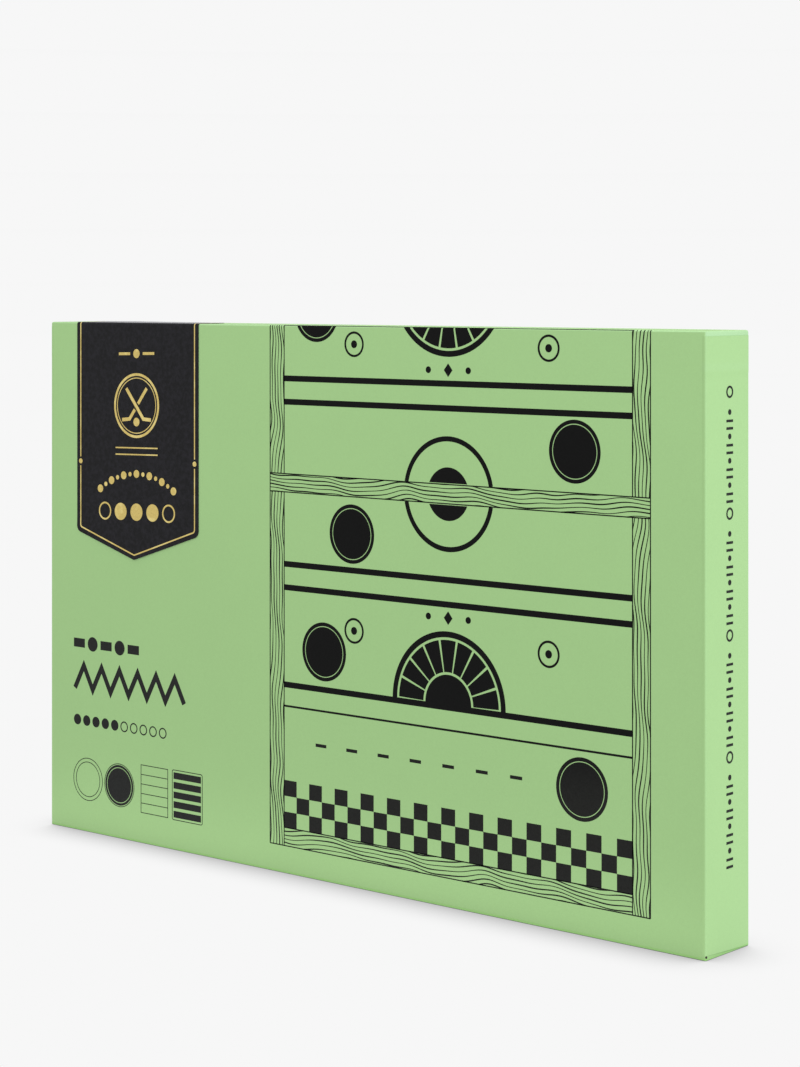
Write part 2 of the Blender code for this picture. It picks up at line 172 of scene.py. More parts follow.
class HockeyPrint(PropertyGroup):
    """The plan of the board that is printed on the lid, and the ornaments beside it."""

    scale: amount("Scale", "Printed size of the board over its real size", 0.888)
    across: length("Across", "Place of the plan's middle on the lid, from the lid's middle", 0.0592)
    foot: length("Foot", "Height of the plan's lower end over the box's lower edge", 0.0120)
    hairline: length("Hairline", "Width of the thin lines", 0.00055)
    grain_line: length("Grain line", "Width of the wood-grain lines", 0.00050)
    grain_pitch: length("Grain pitch", "Distance from one grain line to the next", 0.00190)
    stripe: length("Stripe", "Width of the thick stripes", 0.00290)
    puck: length("Printed puck", "Diameter of a puck in the plan", 0.0286)
    puck_rim: length("Printed rim", "Width of the rim of a puck in the plan", 0.00180)
    puck_gap: length("Printed groove", "Width of the bare ring inside the rim", 0.00041)


class HockeyWood(PropertyGroup):
    """The wood of the board and of the pucks, and the pads under the board."""

    rail: colour("Rail", "Light colour of the rails", (0.640, 0.430, 0.235))
    rail_dark: colour("Rail grain", "Dark colour of the rails' grain", (0.400, 0.225, 0.095))
    ply: colour("Panel", "Light colour of the plywood", (0.700, 0.520, 0.315))
    ply_dark: colour("Panel grain", "Dark colour of the plywood's grain", (0.500, 0.320, 0.155))
    puck: colour("Light puck", "Light colour of the plain pucks", (0.690, 0.480, 0.270))
    puck_dark: colour("Light puck grain", "Dark colour of the plain pucks", (0.450, 0.265, 0.120))
    stain: colour("Stain", "Colour of the stained pucks", (0.012, 0.012, 0.012))
    pad: colour("Foot pad", "Dark colour of the pads under the board", (0.045, 0.045, 0.046))
    pad_pale: colour("Foot pad cells", "Pale colour of the pads", (0.075, 0.075, 0.076))
    puck_edge: length("Puck edge", "Rounding of a puck's edges", 0.0011)


class HockeyCord(PropertyGroup):
    """The elastic cords."""

    cover: colour("Cover", "Colour of the cord's braided cover", (0.018, 0.018, 0.018))
    pitch: length("Pitch", "Length over which a yarn goes once round the cord", 0.0052)
    yarn: length("Yarn", "How far the braid's yarns stand out", 0.00007)
    ring: length("Ring", "Distance between the rings of points of a cord's mesh", 0.00045)
    knotted: length("Knotted", "Diameter of the cord where it is drawn tight in its knot", 0.00172)
    core: colour("Core", "Colour of the rubber inside the cord", (0.560, 0.520, 0.440))


class HockeyStudio(PropertyGroup):
    """The camera, the floor and the lights."""

    lens: FloatProperty(name="Lens", description="Focal length", default=83.444, unit="CAMERA")
    turn: angle("Turn", "Turn of the camera from facing along Y", 0.70487)
    stand: FloatVectorProperty(
        name="Stand",
        description="Place of the camera",
        default=(0.70729, -0.80839, 0.25713),
        subtype="TRANSLATION",
    )
    drop: FloatProperty(name="Drop", description="Shift that frames the box", default=-0.23196)
    pale: amount("Floor", "Brightness of the pale floor and wall", 0.930)
    shade_reach: length("Shade reach", "How far the box's shade reaches on the floor", 0.030)
    shade_depth: amount("Shade depth", "How dark the box's shade on the floor is", 1.08)
    key: power("Key light", 32.0)
    key_tint: colour("Key tint", "Colour of the key light", (0.843, 0.843, 1.0))
    fill: power("Fill light", 3.6)
    low: power("Foot light", 0.010)
    top: power("Top light", 4.2)


class Shade:
    """A socket of a material. Arithmetic on it adds the Math nodes that the sum needs."""

    def __init__(self, nodes, socket):
        self.nodes = nodes
        self.socket = socket

    def worked(self, operation, *values):
        """One Math node on these values."""
        places = dict(enumerate(values))
        return self.nodes.shade("ShaderNodeMath", {"operation": operation}, places)

    def __add__(self, other):
        return self.worked("ADD", self, other)

    __radd__ = __add__

    def __sub__(self, other):
        return self.worked("SUBTRACT", self, other)

    def __rsub__(self, other):
        return self.worked("SUBTRACT", other, self)

    def __mul__(self, other):
        return self.worked("MULTIPLY", self, other)

    __rmul__ = __mul__

    def __truediv__(self, other):
        return self.worked("DIVIDE", self, other)

    def __rtruediv__(self, other):
        return self.worked("DIVIDE", other, self)

    def __pow__(self, other):
        return self.worked("POWER", self, other)

    def __abs__(self):
        return self.worked("ABSOLUTE", self)

    def least(self, other):
        """The smaller of two values."""
        return self.worked("MINIMUM", self, other)

    def most(self, other):
        """The larger of two values."""
        return self.worked("MAXIMUM", self, other)

    def wave(self):
        """The sine of the value."""
        return self.worked("SINE", self)

    def rise(self, low, high):
        """0 below low, 1 above high, and smooth between them."""
        places = {0: self, 1: low, 2: high}
        return self.nodes.shade(
            "ShaderNodeMapRange", {"interpolation_type": "SMOOTHSTEP", "clamp": True}, places
        )


class Nodes:
    """The nodes of a material, or of the world."""

    def __init__(self, owner):
        owner.use_nodes = True
        self.owner = owner
        self.tree = owner.node_tree
        self.tree.nodes.clear()

    def add(self, kind, settings=None, sockets=None):
        """A node of a type, with its settings made first and its sockets fed after them."""
        node = self.tree.nodes.new(kind)
        for name, value in (settings or {}).items():
            setattr(node, name, value)
        for place, value in (sockets or {}).items():
            if isinstance(value, Shade):
                self.tree.links.new(value.socket, node.inputs[place])
            else:
                node.inputs[place].default_value = value
        return node

    def shade(self, kind, settings=None, sockets=None, output=0):
        """A node of which one output is used."""
        return Shade(self, self.add(kind, settings, sockets).outputs[output])

    def parts(self, vector):
        """The three numbers of a vector."""
        node = self.add("ShaderNodeSeparateXYZ", sockets={0: vector})
        return [Shade(self, output) for output in node.outputs]

    def stretched(self, vector, stretch):
        """A vector with each of its numbers multiplied."""
        sockets = {0: vector, 1: stretch}
        return self.shade("ShaderNodeVectorMath", {"operation": "MULTIPLY"}, sockets)

    def noise(self, vector, scale, detail=2.0, rough=0.5, bend=0.0):
        """Soft noise from 0 to 1."""
        names = ("Vector", "Scale", "Detail", "Roughness", "Distortion")
        sockets = dict(zip(names, (vector, scale, detail, rough, bend)))
        return self.shade("ShaderNodeTexNoise", None, sockets)

    def mixed(self, factor, first, second):
        """Two colours mixed by a factor."""
        sockets = {0: factor, 6: full(first), 7: full(second)}
        return self.shade("ShaderNodeMix", {"data_type": "RGBA"}, sockets, output=2)

    def mottled(self, mottle, tone, low, high):
        """A colour that a mottle takes from one share of its strength to another."""
        return self.mixed(mottle.rise(0.3, 0.7), scaled(tone, low), scaled(tone, high))

    def bump(self, height, distance, strength):
        """A bump from a height between 0 and 1 that stands for a distance."""
        sockets = {"Height": height, "Distance": distance, "Strength": strength}
        return self.shade("ShaderNodeBump", None, sockets, output="Normal")

    def surface(self, tone, roughness, normal, specular=0.5, others=None):
        """The Principled shader on its way to the output, and the material that it finishes."""
        sockets = {
            "Base Color": tone,
            "Roughness": roughness,
            "Normal": normal,
            "Specular IOR Level": specular,
        }
        sockets.update(others or {})
        shader = self.shade("ShaderNodeBsdfPrincipled", None, sockets, output="BSDF")
        self.add("ShaderNodeOutputMaterial", None, {"Surface": shader})
        return self.owner


def full(value):
    """A colour with its alpha, or a socket as it is."""
    if isinstance(value, Shade):
        return value
    return (*tuple(value)[:3], 1.0)


def scaled(tone, share):
    """A colour made lighter or darker."""
    return tuple(min(1.0, part * share) for part in tuple(tone)[:3])


def new_finish(name):
    """The nodes of a new material, and a point's place on its piece, which is that in the frame."""
    nodes = Nodes(bpy.data.materials.new(name))
    return nodes, nodes.shade("ShaderNodeTexCoord", output="Object")


def new_paper(name):
    """The nodes of a matt paper, a point's place, and the fibres as a mottle and as a height."""
    nodes, place = new_finish(name)
    cloud = nodes.noise(place, 38.0, detail=3.0)
    fibre = nodes.noise(place, 900.0, detail=3.0, rough=0.6, bend=1.5)
    tooth = nodes.noise(place, 3600.0, detail=2.0)
    mottle = cloud * 0.15 + fibre * 0.5 + tooth * 0.35
    return nodes, place, mottle, fibre * 0.6 + tooth * 0.4


def fold_nearness(spot, low, high, reach):
    """How near a point of a box is to one of its folds: 1 on the fold, 0 a reach away."""
    sides = zip(spot, low, high)
    first, second, third = [(value - start).least(end - value) for value, start, end in sides]
    second_least = first.least(second).most(first.most(second).least(third))
    return 1 - second_least.rise(0.0, reach)


def wrap_paper(name, low, high, seams=None):
    """The green wrap of a box: matt coated paper, paler along its folds but for its foot, from rubbed
    wear and, near the top, a painted highlight; along its foot, painted shade.
    """
    look = bpy.context.scene.hockey_paper
    nodes, place, mottle, height = new_paper(name)
    x, y, z = nodes.parts(place)
    tone = nodes.mottled(mottle, look.green, 0.965, 1.035)
    rub = nodes.noise(place, 260.0, detail=4.0, rough=0.7)
    # Painted shade along the foot, where the rounding faces down to the floor.
    foot = 1 - (z - low.z).rise(0.0006, 0.0014)
    # Near the top the folds get a painted highlight on top of the rubbed wear.
    upper = (z - high.z).rise(-0.0016, -0.0005)
    wear_and_highlight = fold_nearness((x, y, z), low, high, look.edge_radius) * (rub * 0.5 + 0.05 + upper * 0.6)
    tone = nodes.mixed((wear_and_highlight * (1 - foot * 0.8)).least(1.0), tone, look.worn_and_highlit)
    tone = nodes.mixed(foot * (0.50 + rub * 0.25), tone, look.foot)
    if seams is not None:
        strip, shade, gap = seams(x, y, z)
        # Painted highlight on the strip above each lap.
        tone = nodes.mixed(strip, tone, look.strip)
        # Painted shade beside each lap.
        tone = nodes.mixed(shade, tone, look.shaded)
        # Painted shade in the small hole at a lower corner.
        tone = nodes.mixed(gap, tone, look.corner_hole_shade)
    return nodes.surface(tone, 0.60 + mottle * 0.10, nodes.bump(height, 0.00004, 0.35), 0.30)


def lid_inside(turned_in):
    """The lid's inside: bare grey board, with the green wrap folded in along the rim."""
    look = bpy.context.scene.hockey_paper
    nodes, place, mottle, height = new_paper("lid_inside")
    through = nodes.parts(place)[1]
    waver = (nodes.noise(place, 90.0) - 0.5) * 0.0006
    folded = (through - turned_in + waver).rise(0.0, 0.00015)
    board = nodes.mottled(mottle, look.lining, 1.5, 1.9)
    tone = nodes.mixed(folded, board, nodes.mottled(mottle, look.green, 0.96, 1.04))
    bump = nodes.bump(height * 0.4 + folded, 0.00010, 0.5)
    return nodes.surface(tone, 0.84 - folded * 0.18, bump, 0.25)


def lining_paper():
    """The grey uncoated paper that lines the tray."""
    look = bpy.context.scene.hockey_paper
    nodes, place, mottle, height = new_paper("grey_lining_paper")
    fleck = nodes.noise(place, 1400.0, detail=1.0).rise(0.66, 0.74)
    tone = nodes.mottled(mottle, look.lining, 0.88, 1.12)
    tone = nodes.mixed(fleck * 0.35, tone, scaled(look.lining, 0.45))
    return nodes.surface(tone, 0.82 + mottle * 0.10, nodes.bump(height, 0.00006, 0.5), 0.20)


def printed_ink(name, ink, low_ink=None):
    """Offset ink on the matt paper, a little uneven, and lighter towards the box's foot."""
    nodes, place, mottle, height = new_paper(name)
    if low_ink is not None:
        lighter_below, darker_above = 0.050, 0.080
        height_on_box = nodes.parts(place)[2]
        ink = nodes.mixed(height_on_box.rise(lighter_below, darker_above), low_ink, ink)
    tone = nodes.mixed(mottle.rise(0.3, 0.7) * 0.45, ink, (0.0, 0.0, 0.0))
    return nodes.surface(tone, 0.56 + mottle * 0.10, nodes.bump(height, 0.00003, 0.3), 0.08)


def label_card():
    """The black uncoated paper of the label, clouded and with pale fibres."""
    look = bpy.context.scene.hockey_paper
    nodes, place, mottle, height = new_paper("black_label_paper")
    fibre = nodes.noise(nodes.stretched(place, (1.0, 1.0, 0.35)), 2600.0, detail=2.0, bend=2.0)
    cloud = nodes.noise(place, 520.0, detail=4.0, rough=0.65)
    tone = nodes.mottled(mottle, look.card, 0.45, 0.85)
    tone = nodes.mixed(cloud.rise(0.35, 0.70) * 0.75, tone, look.cloud)
    tone = nodes.mixed(fibre.rise(0.62, 0.80) * 0.30, tone, scaled(look.card, 3.2))
    sheen = {"Sheen Weight": 0.5, "Sheen Roughness": 0.25}
    bump = nodes.bump(height, 0.00008, 0.5)
    return nodes.surface(tone, 0.58 + mottle * 0.12, bump, 0.14, sheen)


def gold_foil():
    """Hot-stamped gold foil with soft painted glints, a little broken by the paper's grain."""
    look = bpy.context.scene.hockey_paper
    nodes, place, mottle, height = new_paper("gold_foil")
    broken = nodes.noise(place, 1700.0, detail=2.0, rough=0.6).rise(0.56, 0.72)
    shine = nodes.noise(place, 210.0, detail=1.0).rise(0.46, 0.66)
    tone = nodes.mottled(mottle, look.foil, 0.90, 1.16)
    # Painted glints: soft spots of brighter gold.
    tone = nodes.mixed(shine * 0.65, tone, look.glint)
    tone = nodes.mixed(broken * 0.45, tone, scaled(look.foil, 0.60))
    metal = {"Metallic": 0.55 + mottle * 0.2}
    bump = nodes.bump(height, 0.00006, 0.5)
    return nodes.surface(tone, 0.36 + mottle * 0.16, bump, others=metal)


def wood(name, pale, dark, grain, ring_width):
    """Sanded wood with its grain along one axis: growth rings, fibres and pores."""
    nodes, place = new_finish(name)

    def drawn_out(share):
        stretch = [1.0, 1.0, 1.0]
        stretch["XYZ".index(grain)] = share
        return nodes.stretched(place, stretch)

    sweep = nodes.noise(drawn_out(0.07), 26.0, detail=2.0, rough=0.45, bend=0.4)
    rings = (sweep * (0.05 * pi / ring_width)).wave() * 0.5 + 0.5
    along = drawn_out(0.022)
    fibre = nodes.noise(along, 2400.0, detail=3.0, rough=0.6)
    pores = nodes.noise(along, 1500.0, detail=1.0).rise(0.66, 0.78)
    cloud = nodes.noise(place, 14.0, detail=2.0)
    share = rings ** 2.2 * 0.50 + fibre * 0.30 + cloud * 0.30 - 0.12
    tone = nodes.mixed(share.rise(0.0, 1.0), pale, dark)
    tone = nodes.mixed(pores * 0.40, tone, scaled(dark, 0.55))
    bump = nodes.bump(fibre * 0.6 - pores * 0.8, 0.00008, 0.45)
    return nodes.surface(tone, 0.48 + fibre * 0.14, bump, 0.40)


def end_grain(name, pale, dark, centres):
    """The cut end of a dowel: rings round its own middle, and dark pores."""
    nodes, place = new_finish(name)
    x, y = nodes.parts(place)[:2]
    wander = nodes.noise(place, 420.0, detail=2.0) * 0.0006
    reach = None
    for across, through in centres:
        one = ((x - across) ** 2 + (y - through) ** 2) ** 0.5
        reach = one if reach is None else reach.least(one)
    ring_width = 0.00055
    rings = ((reach + wander) * (2 * pi / ring_width)).wave() * 0.5 + 0.5
    pores = nodes.noise(nodes.stretched(place, (1.0, 1.0, 0.05)), 5200.0, detail=1.0)
    tone = nodes.mixed(rings * 0.55 + pores * 0.35, pale, dark)
    return nodes.surface(tone, 0.62 + pores * 0.15, nodes.bump(pores, 0.00006, 0.4), 0.30)


def stained_wood():
    """Black stained wood under a satin varnish: the grain shows as a faint relief."""
    look = bpy.context.scene.hockey_wood
    nodes, place = new_finish("black_stained_wood")
    fibre = nodes.noise(nodes.stretched(place, (0.03, 1.0, 1.0)), 2000.0, detail=3.0, rough=0.6)
    rub = nodes.noise(place, 300.0, detail=3.0)
    tone = nodes.mixed(fibre.rise(0.45, 0.85), look.stain, scaled(look.stain, 2.6))
    rough = 0.36 + fibre * 0.12 + rub * 0.08
    return nodes.surface(tone, rough, nodes.bump(fibre, 0.00007, 0.45), 0.40)


def braid_cover():
    """The woven cover of the elastic: matt yarns with a faint sheen and paler rubbed tips."""
    look = bpy.context.scene.hockey_cord
    nodes, place = new_finish("black_braid_cover")
    fuzz = nodes.noise(place, 3800.0, detail=3.0, rough=0.7)
    tone = nodes.mixed(fuzz.rise(0.4, 0.8), look.cover, scaled(look.cover, 2.4))
    bump = nodes.bump(fuzz, 0.00005, 0.6)
    return nodes.surface(tone, 0.80 + fuzz * 0.12, bump, 0.25, {"Sheen Weight": 0.25})


def cord_core():
    """The cut rubber threads inside the elastic."""
    look = bpy.context.scene.hockey_cord
    nodes, place = new_finish("pale_cord_core")
    threads = nodes.noise(place, 5200.0, detail=1.0)
    tone = nodes.mixed(threads.rise(0.35, 0.60), scaled(look.core, 0.45), look.core)
    return nodes.surface(tone, 0.70 + threads * 0.15, nodes.bump(threads, 0.00010, 0.6), 0.30)


def foot_rubber():
    """The soft matt pads under the board."""
    look = bpy.context.scene.hockey_wood
    nodes, place = new_finish("grey_foot_pad")
    cell = nodes.noise(place, 2600.0, detail=2.0)
    tone = nodes.mixed(cell.rise(0.3, 0.7), look.pad, look.pad_pale)
    return nodes.surface(tone, 0.84 + cell * 0.10, nodes.bump(cell, 0.00008, 0.5), 0.25)


def pale_backdrop():
    """The floor and wall: even pale light, shaded only close to what stands on it."""
    look = bpy.context.scene.hockey_studio
    material = bpy.data.materials.new("pale_backdrop")
    nodes = Nodes(material)
    lean = nodes.shade("ShaderNodeCombineXYZ", None, {0: -0.185, 1: 0.287, 2: 0.940})
    sockets = {"Distance": look.shade_reach, "Normal": lean}
    near = nodes.shade("ShaderNodeAmbientOcclusion", {"samples": 24}, sockets, output="AO")
    shade = (1 - near) ** 2 * look.shade_depth
    tone = nodes.mixed(shade, (1.0, 1.0, 1.0), (0.0, 0.0, 0.0))
    glow = nodes.shade("ShaderNodeEmission", None, {"Color": tone, "Strength": look.pale})
    nodes.add("ShaderNodeOutputMaterial", None, {"Surface": glow})
    material.cycles.emission_sampling = "NONE"
    return material


class Course:
    """A line that paper follows over edges: places in a plane, and the way out at each."""

    def __init__(self, start, out):
        self.points = [Vector(start)]
        self.outs = [Vector(out)]
        self.reach = [0.0]

    def go(self, point, out):
        """Go straight on to a point."""
        point = Vector(point)
        self.reach.append(self.reach[-1] + (point - self.points[-1]).length)
        self.points.append(point)
        self.outs.append(Vector(out).normalized())

    def round(self, centre, radius, start, end, steps):
        """Go round a centre from one angle to another."""
        for step in range(1, steps + 1):
            turn = start + (end - start) * step / steps
            out = Vector((cos(turn), sin(turn)))
            self.go(Vector(centre) + out * radius, out)

    def at(self, distance):
        """The point at a distance along the line, and the way out there."""
        place = min(max(bisect_right(self.reach, distance), 1), len(self.reach) - 1)
        start, end = self.reach[place - 1], self.reach[place]
        share = (distance - start) / (end - start)
        point = self.points[place - 1].lerp(self.points[place], share)
        out = self.outs[place - 1].lerp(self.outs[place], min(max(share, 0.0), 1.0))
        return point, out.normalized()


class Flat:
    """Flat shapes, drawn across and along in metres, that are then laid on a surface."""

    def __init__(self):
        self.shape = bmesh.new()

    def outline(self, points):
        """A filled outline."""
        area = 0.0
        for (left, low), (right, high) in zip(points, points[1:] + points[:1]):
            area += left * high - right * low
        if area < 0:
            points = points[::-1]
        self.shape.faces.new([self.shape.verts.new((*point, 0.0)) for point in points])

    def bar(self, left, low, right, high):
        """A filled rectangle."""
        self.outline([(left, low), (right, low), (right, high), (left, high)])

    def disc(self, across, along, radius, steps=72, start=0.0, turn=2 * pi):
        """A filled disc, or the part of it that an arc and its chord close."""
        self.outline(arc(across, along, radius, steps, start, turn))

    def strip(self, first, second, closed=False):
        """A band between two lines of as many points."""
        firsts = [self.shape.verts.new((*point, 0.0)) for point in first]
        seconds = [self.shape.verts.new((*point, 0.0)) for point in second]
        pairs = list(zip(firsts, seconds))
        after = pairs[1:] + pairs[:1] if closed else pairs[1:]
        for (one, other), (next_one, next_other) in zip(pairs, after):
            self.shape.faces.new((one, next_one, next_other, other))

    def ring(self, across, along, outer, inner, steps=72, start=0.0, turn=2 * pi):
        """A ring, or a part of one."""
        lines = [arc(across, along, radius, steps, start, turn) for radius in (inner, outer)]
        self.strip(lines[1], lines[0], turn == 2 * pi)

    def stroke(self, points, width, closed=False):
        """A line through points, mitred where it turns, of one width or one for each point."""
        least_mitre = 0.35
        points = [Vector(point) for point in points]
        widths = width if isinstance(width, list) else [width] * len(points)
        left, right = [], []
        for place, point in enumerate(points):
            before = points[place - 1] if place or closed else None
            last = place == len(points) - 1
            after = points[(place + 1) % len(points)] if not last or closed else None
            ways = []
            if before is not None:
                ways.append((point - before).normalized())
            if after is not None:
                ways.append((after - point).normalized())
            way = sum(ways, Vector((0.0, 0.0))).normalized()
            side = Vector((-way.y, way.x))
            spread = widths[place] / 2 / max(least_mitre, way.dot(ways[0]))
            left.append(tuple(point + side * spread))
            right.append(tuple(point - side * spread))
        self.strip(right, left, closed)

    def cut(self, axis, place, clear=False):
        """Cut every shape along a line across an axis, and clear what lies beyond it."""
        spot, facing = [0.0, 0.0, 0.0], [0.0, 0.0, 0.0]
        spot[axis] = place
        facing[axis] = 1.0
        everything = self.shape.verts[:] + self.shape.edges[:] + self.shape.faces[:]
        bmesh.ops.bisect_plane(
            self.shape, geom=everything, plane_co=spot, plane_no=facing, clear_outer=clear
        )

    def scored(self, axis, places):
        """Cut every shape along lines, so that it can bend there."""
        for place in places:
            self.cut(axis, place)

    def taken(self, other):
        """Take over another's shapes."""
        mesh = mesh_of(other.shape, "taken")
        self.shape.from_mesh(mesh)
        bpy.data.meshes.remove(mesh)

    def leaning(self, rise, middle):
        """Lift every shape towards the right by a share of its way from the middle."""
        for vert in self.shape.verts:
            vert.co.y += rise * (vert.co.x - middle)

    def laid(self, name, place, low, high, material, body, slot, stand_in_for=()):
        """Raise the shapes from a low to a high level and set each point in its place."""
        shape = self.shape
        raised = bmesh.ops.extrude_face_region(shape, geom=shape.faces[:], use_keep_orig=True)
        tops = {item for item in raised["geom"] if isinstance(item, bmesh.types.BMVert)}
        for vert in shape.verts:
            vert.co = place(vert.co.x, vert.co.y, high if vert in tops else low)
        self.put_in_order()
        bmesh.ops.recalc_face_normals(shape, faces=shape.faces)
        mesh = mesh_of(shape, name)
        return new_piece(name, mesh, [material], body, stand_in_for)

    def put_in_order(self):
        """Sort the edges and faces, which come out of a raise in a chance order, by their points."""
        count = len(self.shape.verts)
        self.shape.verts.index_update()

        def order(item):
            first, second, third = (sorted(vert.index for vert in item.verts) + [0])[:3]
            return (first * count + second) * count + third

        self.shape.edges.sort(key=order)
        self.shape.faces.sort(key=order)


def arc(across, along, radius, steps, start, turn):
    """Points round a middle: from one end of an arc to the other, or all the way round."""
    points = []
    for step in range(steps if turn == 2 * pi else steps + 1):
        at = start + turn * step / steps
        points.append((across + radius * cos(at), along + radius * sin(at)))
    return points


def mesh_of(shape, name):
    """The mesh of a shape, which is given up for it."""
    mesh = bpy.data.meshes.new(name)
    shape.to_mesh(mesh)
    shape.free()
    return mesh


def joined(shape, one, other):
    """The faces between two rings of as many points."""
    faces = []
    for place, point in enumerate(one):
        after = (place + 1) % len(one)
        faces.append(shape.faces.new((point, one[after], other[after], other[place])))
    return faces


def new_piece(name, mesh, materials, body, stand_in_for=()):
    """An object of a mesh, smooth but for its sharp edges, that rides on a body."""
    piece = bpy.data.objects.new(name, mesh)
    for material in materials:
        mesh.materials.append(material)
    for polygon in mesh.polygons:
        polygon.use_smooth = True
    mesh.set_sharp_from_angle(angle=radians(36))
    bpy.context.scene.collection.objects.link(piece)
    if body is not None:
        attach(piece, body)
    if stand_in_for:
        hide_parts(*stand_in_for)
    return piece


def dress(node, material):
    """Give a CAD node a better material."""
    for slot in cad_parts[node].material_slots:
        slot.material = material


def shell_mesh(name, low, high, wall, opening, radius, steps):
    """Half of a rigid box: five walls, open on one side, its edges rounded, least at its foot."""
    low, high = Vector(low), Vector(high)
    shape = bmesh.new()
    bmesh.ops.create_cube(shape, size=1.0)
    bmesh.ops.scale(shape, vec=high - low, verts=shape.verts)
    bmesh.ops.translate(shape, vec=(low + high) / 2, verts=shape.verts)
    open_side = [face for face in shape.faces if face.normal.dot(Vector(opening)) > 0.5]
    bmesh.ops.delete(shape, geom=open_side, context="FACES_ONLY")
    softness = shape.edges.layers.float.new("bevel_weight_edge")
    for edge in shape.edges:
        at_foot = all(vert.co.z < low.z + 0.0001 for vert in edge.verts)
        edge[softness] = 0.35 if at_foot else 1.0
    form = bpy.data.objects.new(name, mesh_of(shape, name))
    bpy.context.scene.collection.objects.link(form)
    boards = form.modifiers.new("boards", "SOLIDIFY")
    boards.thickness = wall
    boards.offset = -1.0
    boards.use_even_offset = True
    folds = form.modifiers.new("folds", "BEVEL")
    folds.width = radius
    folds.segments = steps
    folds.limit_method = "WEIGHT"
    folds.harden_normals = True
    graph = bpy.context.evaluated_depsgraph_get()
    mesh = bpy.data.meshes.new_from_object(form.evaluated_get(graph))
    bpy.data.objects.remove(form, do_unlink=True)
    return mesh


def lid_course():
    """From the foot of the lid's front, up and over its upper edge to the rim."""
    radius = bpy.context.scene.hockey_paper.edge_radius
    front, rim, top = lid_low.y, lid_high.y, lid_high.z
    course = Course((front, lid_low.z), (-1.0, 0.0))
    course.go((front, top - radius), (-1.0, 0.0))
    course.round((front + radius, top - radius), radius, pi, pi / 2, 6)
    course.go((rim, top), (0.0, 1.0))
    return course


def on_front(course):
    """Lay flat shapes on the lid's front, and on over its upper edge."""

    def place(across, along, level):
        point, out = course.at(along)
        return Vector((across, point.x + out.x * level, point.y + out.y * level))

    return place


class HOCKEY_OT_stage(Operator):
    """The camera, the pale floor that turns up into a wall all round, and the soft lights"""

    bl_idname = "hockey.stage"
    bl_label = "Stage"

    def execute(self, context):
        look = context.scene.hockey_studio
        lens = bpy.data.cameras.new("camera")
        lens.lens = look.lens
        lens.sensor_width = 36.0
        lens.shift_y = look.drop
        lens.clip_start = 0.02
        camera = bpy.data.objects.new("camera", lens)
        camera.location = look.stand
        camera.rotation_euler = (pi / 2, 0.0, look.turn)
        context.scene.collection.objects.link(camera)
        context.scene.camera = camera
        self.floor(context)
        white, foot = (1.0, 1.0, 1.0), (0.0, lid_low.y - 0.0240, 0.004)
        lights = (
            ("key_light", (2.25, 0.0, 1.05), (0.18, 0.0, 0.12), (1.3, 1.3), look.key, look.key_tint),
            ("fill_light", (-0.9, -2.0, 1.5), (0.0, 0.0, 0.12), (1.6, 1.6), look.fill, white),
            ("top_light", (0.0, 0.0, 1.6), (0.0, 0.0001, 0.24), (0.35, 0.35), look.top, white),
            ("foot_light", foot, (0.0, 0.0, 0.004), (0.38, 0.006), look.low, white),
        )
        for light in lights:
            self.light(context, *light)
        world = bpy.data.worlds.new("studio_air")
        nodes = Nodes(world)
        air = {"Color": (1.0, 1.0, 1.0, 1.0), "Strength": look.pale}
        glow = nodes.shade("ShaderNodeBackground", None, air)
        nodes.add("ShaderNodeOutputWorld", None, {"Surface": glow})
        context.scene.world = world
        context.scene.view_settings.view_transform = "Standard"
        return {"FINISHED"}

    def floor(self, context):
        """A round floor whose rim sweeps up into a wall."""
        level, flat, curve, wall = cad_low.z - 0.0001, 2.4, 0.9, 3.2
        profile = [(0.0, level), (flat, level)]
        for step in range(1, 13):
            turn = pi / 2 * step / 12
            profile.append((flat + curve * sin(turn), level + curve * (1 - cos(turn))))
        profile.append((flat + curve, level + wall))
        shape = bmesh.new()
        points = [shape.verts.new((radius, 0.0, height)) for radius, height in profile]
        edges = [shape.edges.new(pair) for pair in zip(points, points[1:])]
        bmesh.ops.spin(
            shape,
            geom=points + edges,
            axis=(0.0, 0.0, 1.0),
            cent=(0.0, 0.0, 0.0),
            angle=2 * pi,
            steps=72,
            use_merge=True,
        )
        bmesh.ops.remove_doubles(shape, verts=shape.verts, dist=0.0005)
        bmesh.ops.recalc_face_normals(shape, faces=shape.faces)
        mesh = mesh_of(shape, "pale_floor")
        mesh.materials.append(pale_backdrop())
        floor = bpy.data.objects.new("pale_floor", mesh)
        context.scene.collection.objects.link(floor)

    def light(self, context, name, stand, aim, size, power, tint):
        """A square or oblong soft light that faces a point."""
        lamp = bpy.data.lights.new(name, "AREA")
        lamp.shape = "RECTANGLE"
        lamp.size, lamp.size_y = size
        lamp.energy, lamp.color = power, tint
        light = bpy.data.objects.new(name, lamp)
        light.location = stand
        light.rotation_euler = (Vector(aim) - Vector(stand)).to_track_quat("-Z", "Y").to_euler()
        light.visible_camera = False
        context.scene.collection.objects.link(light)


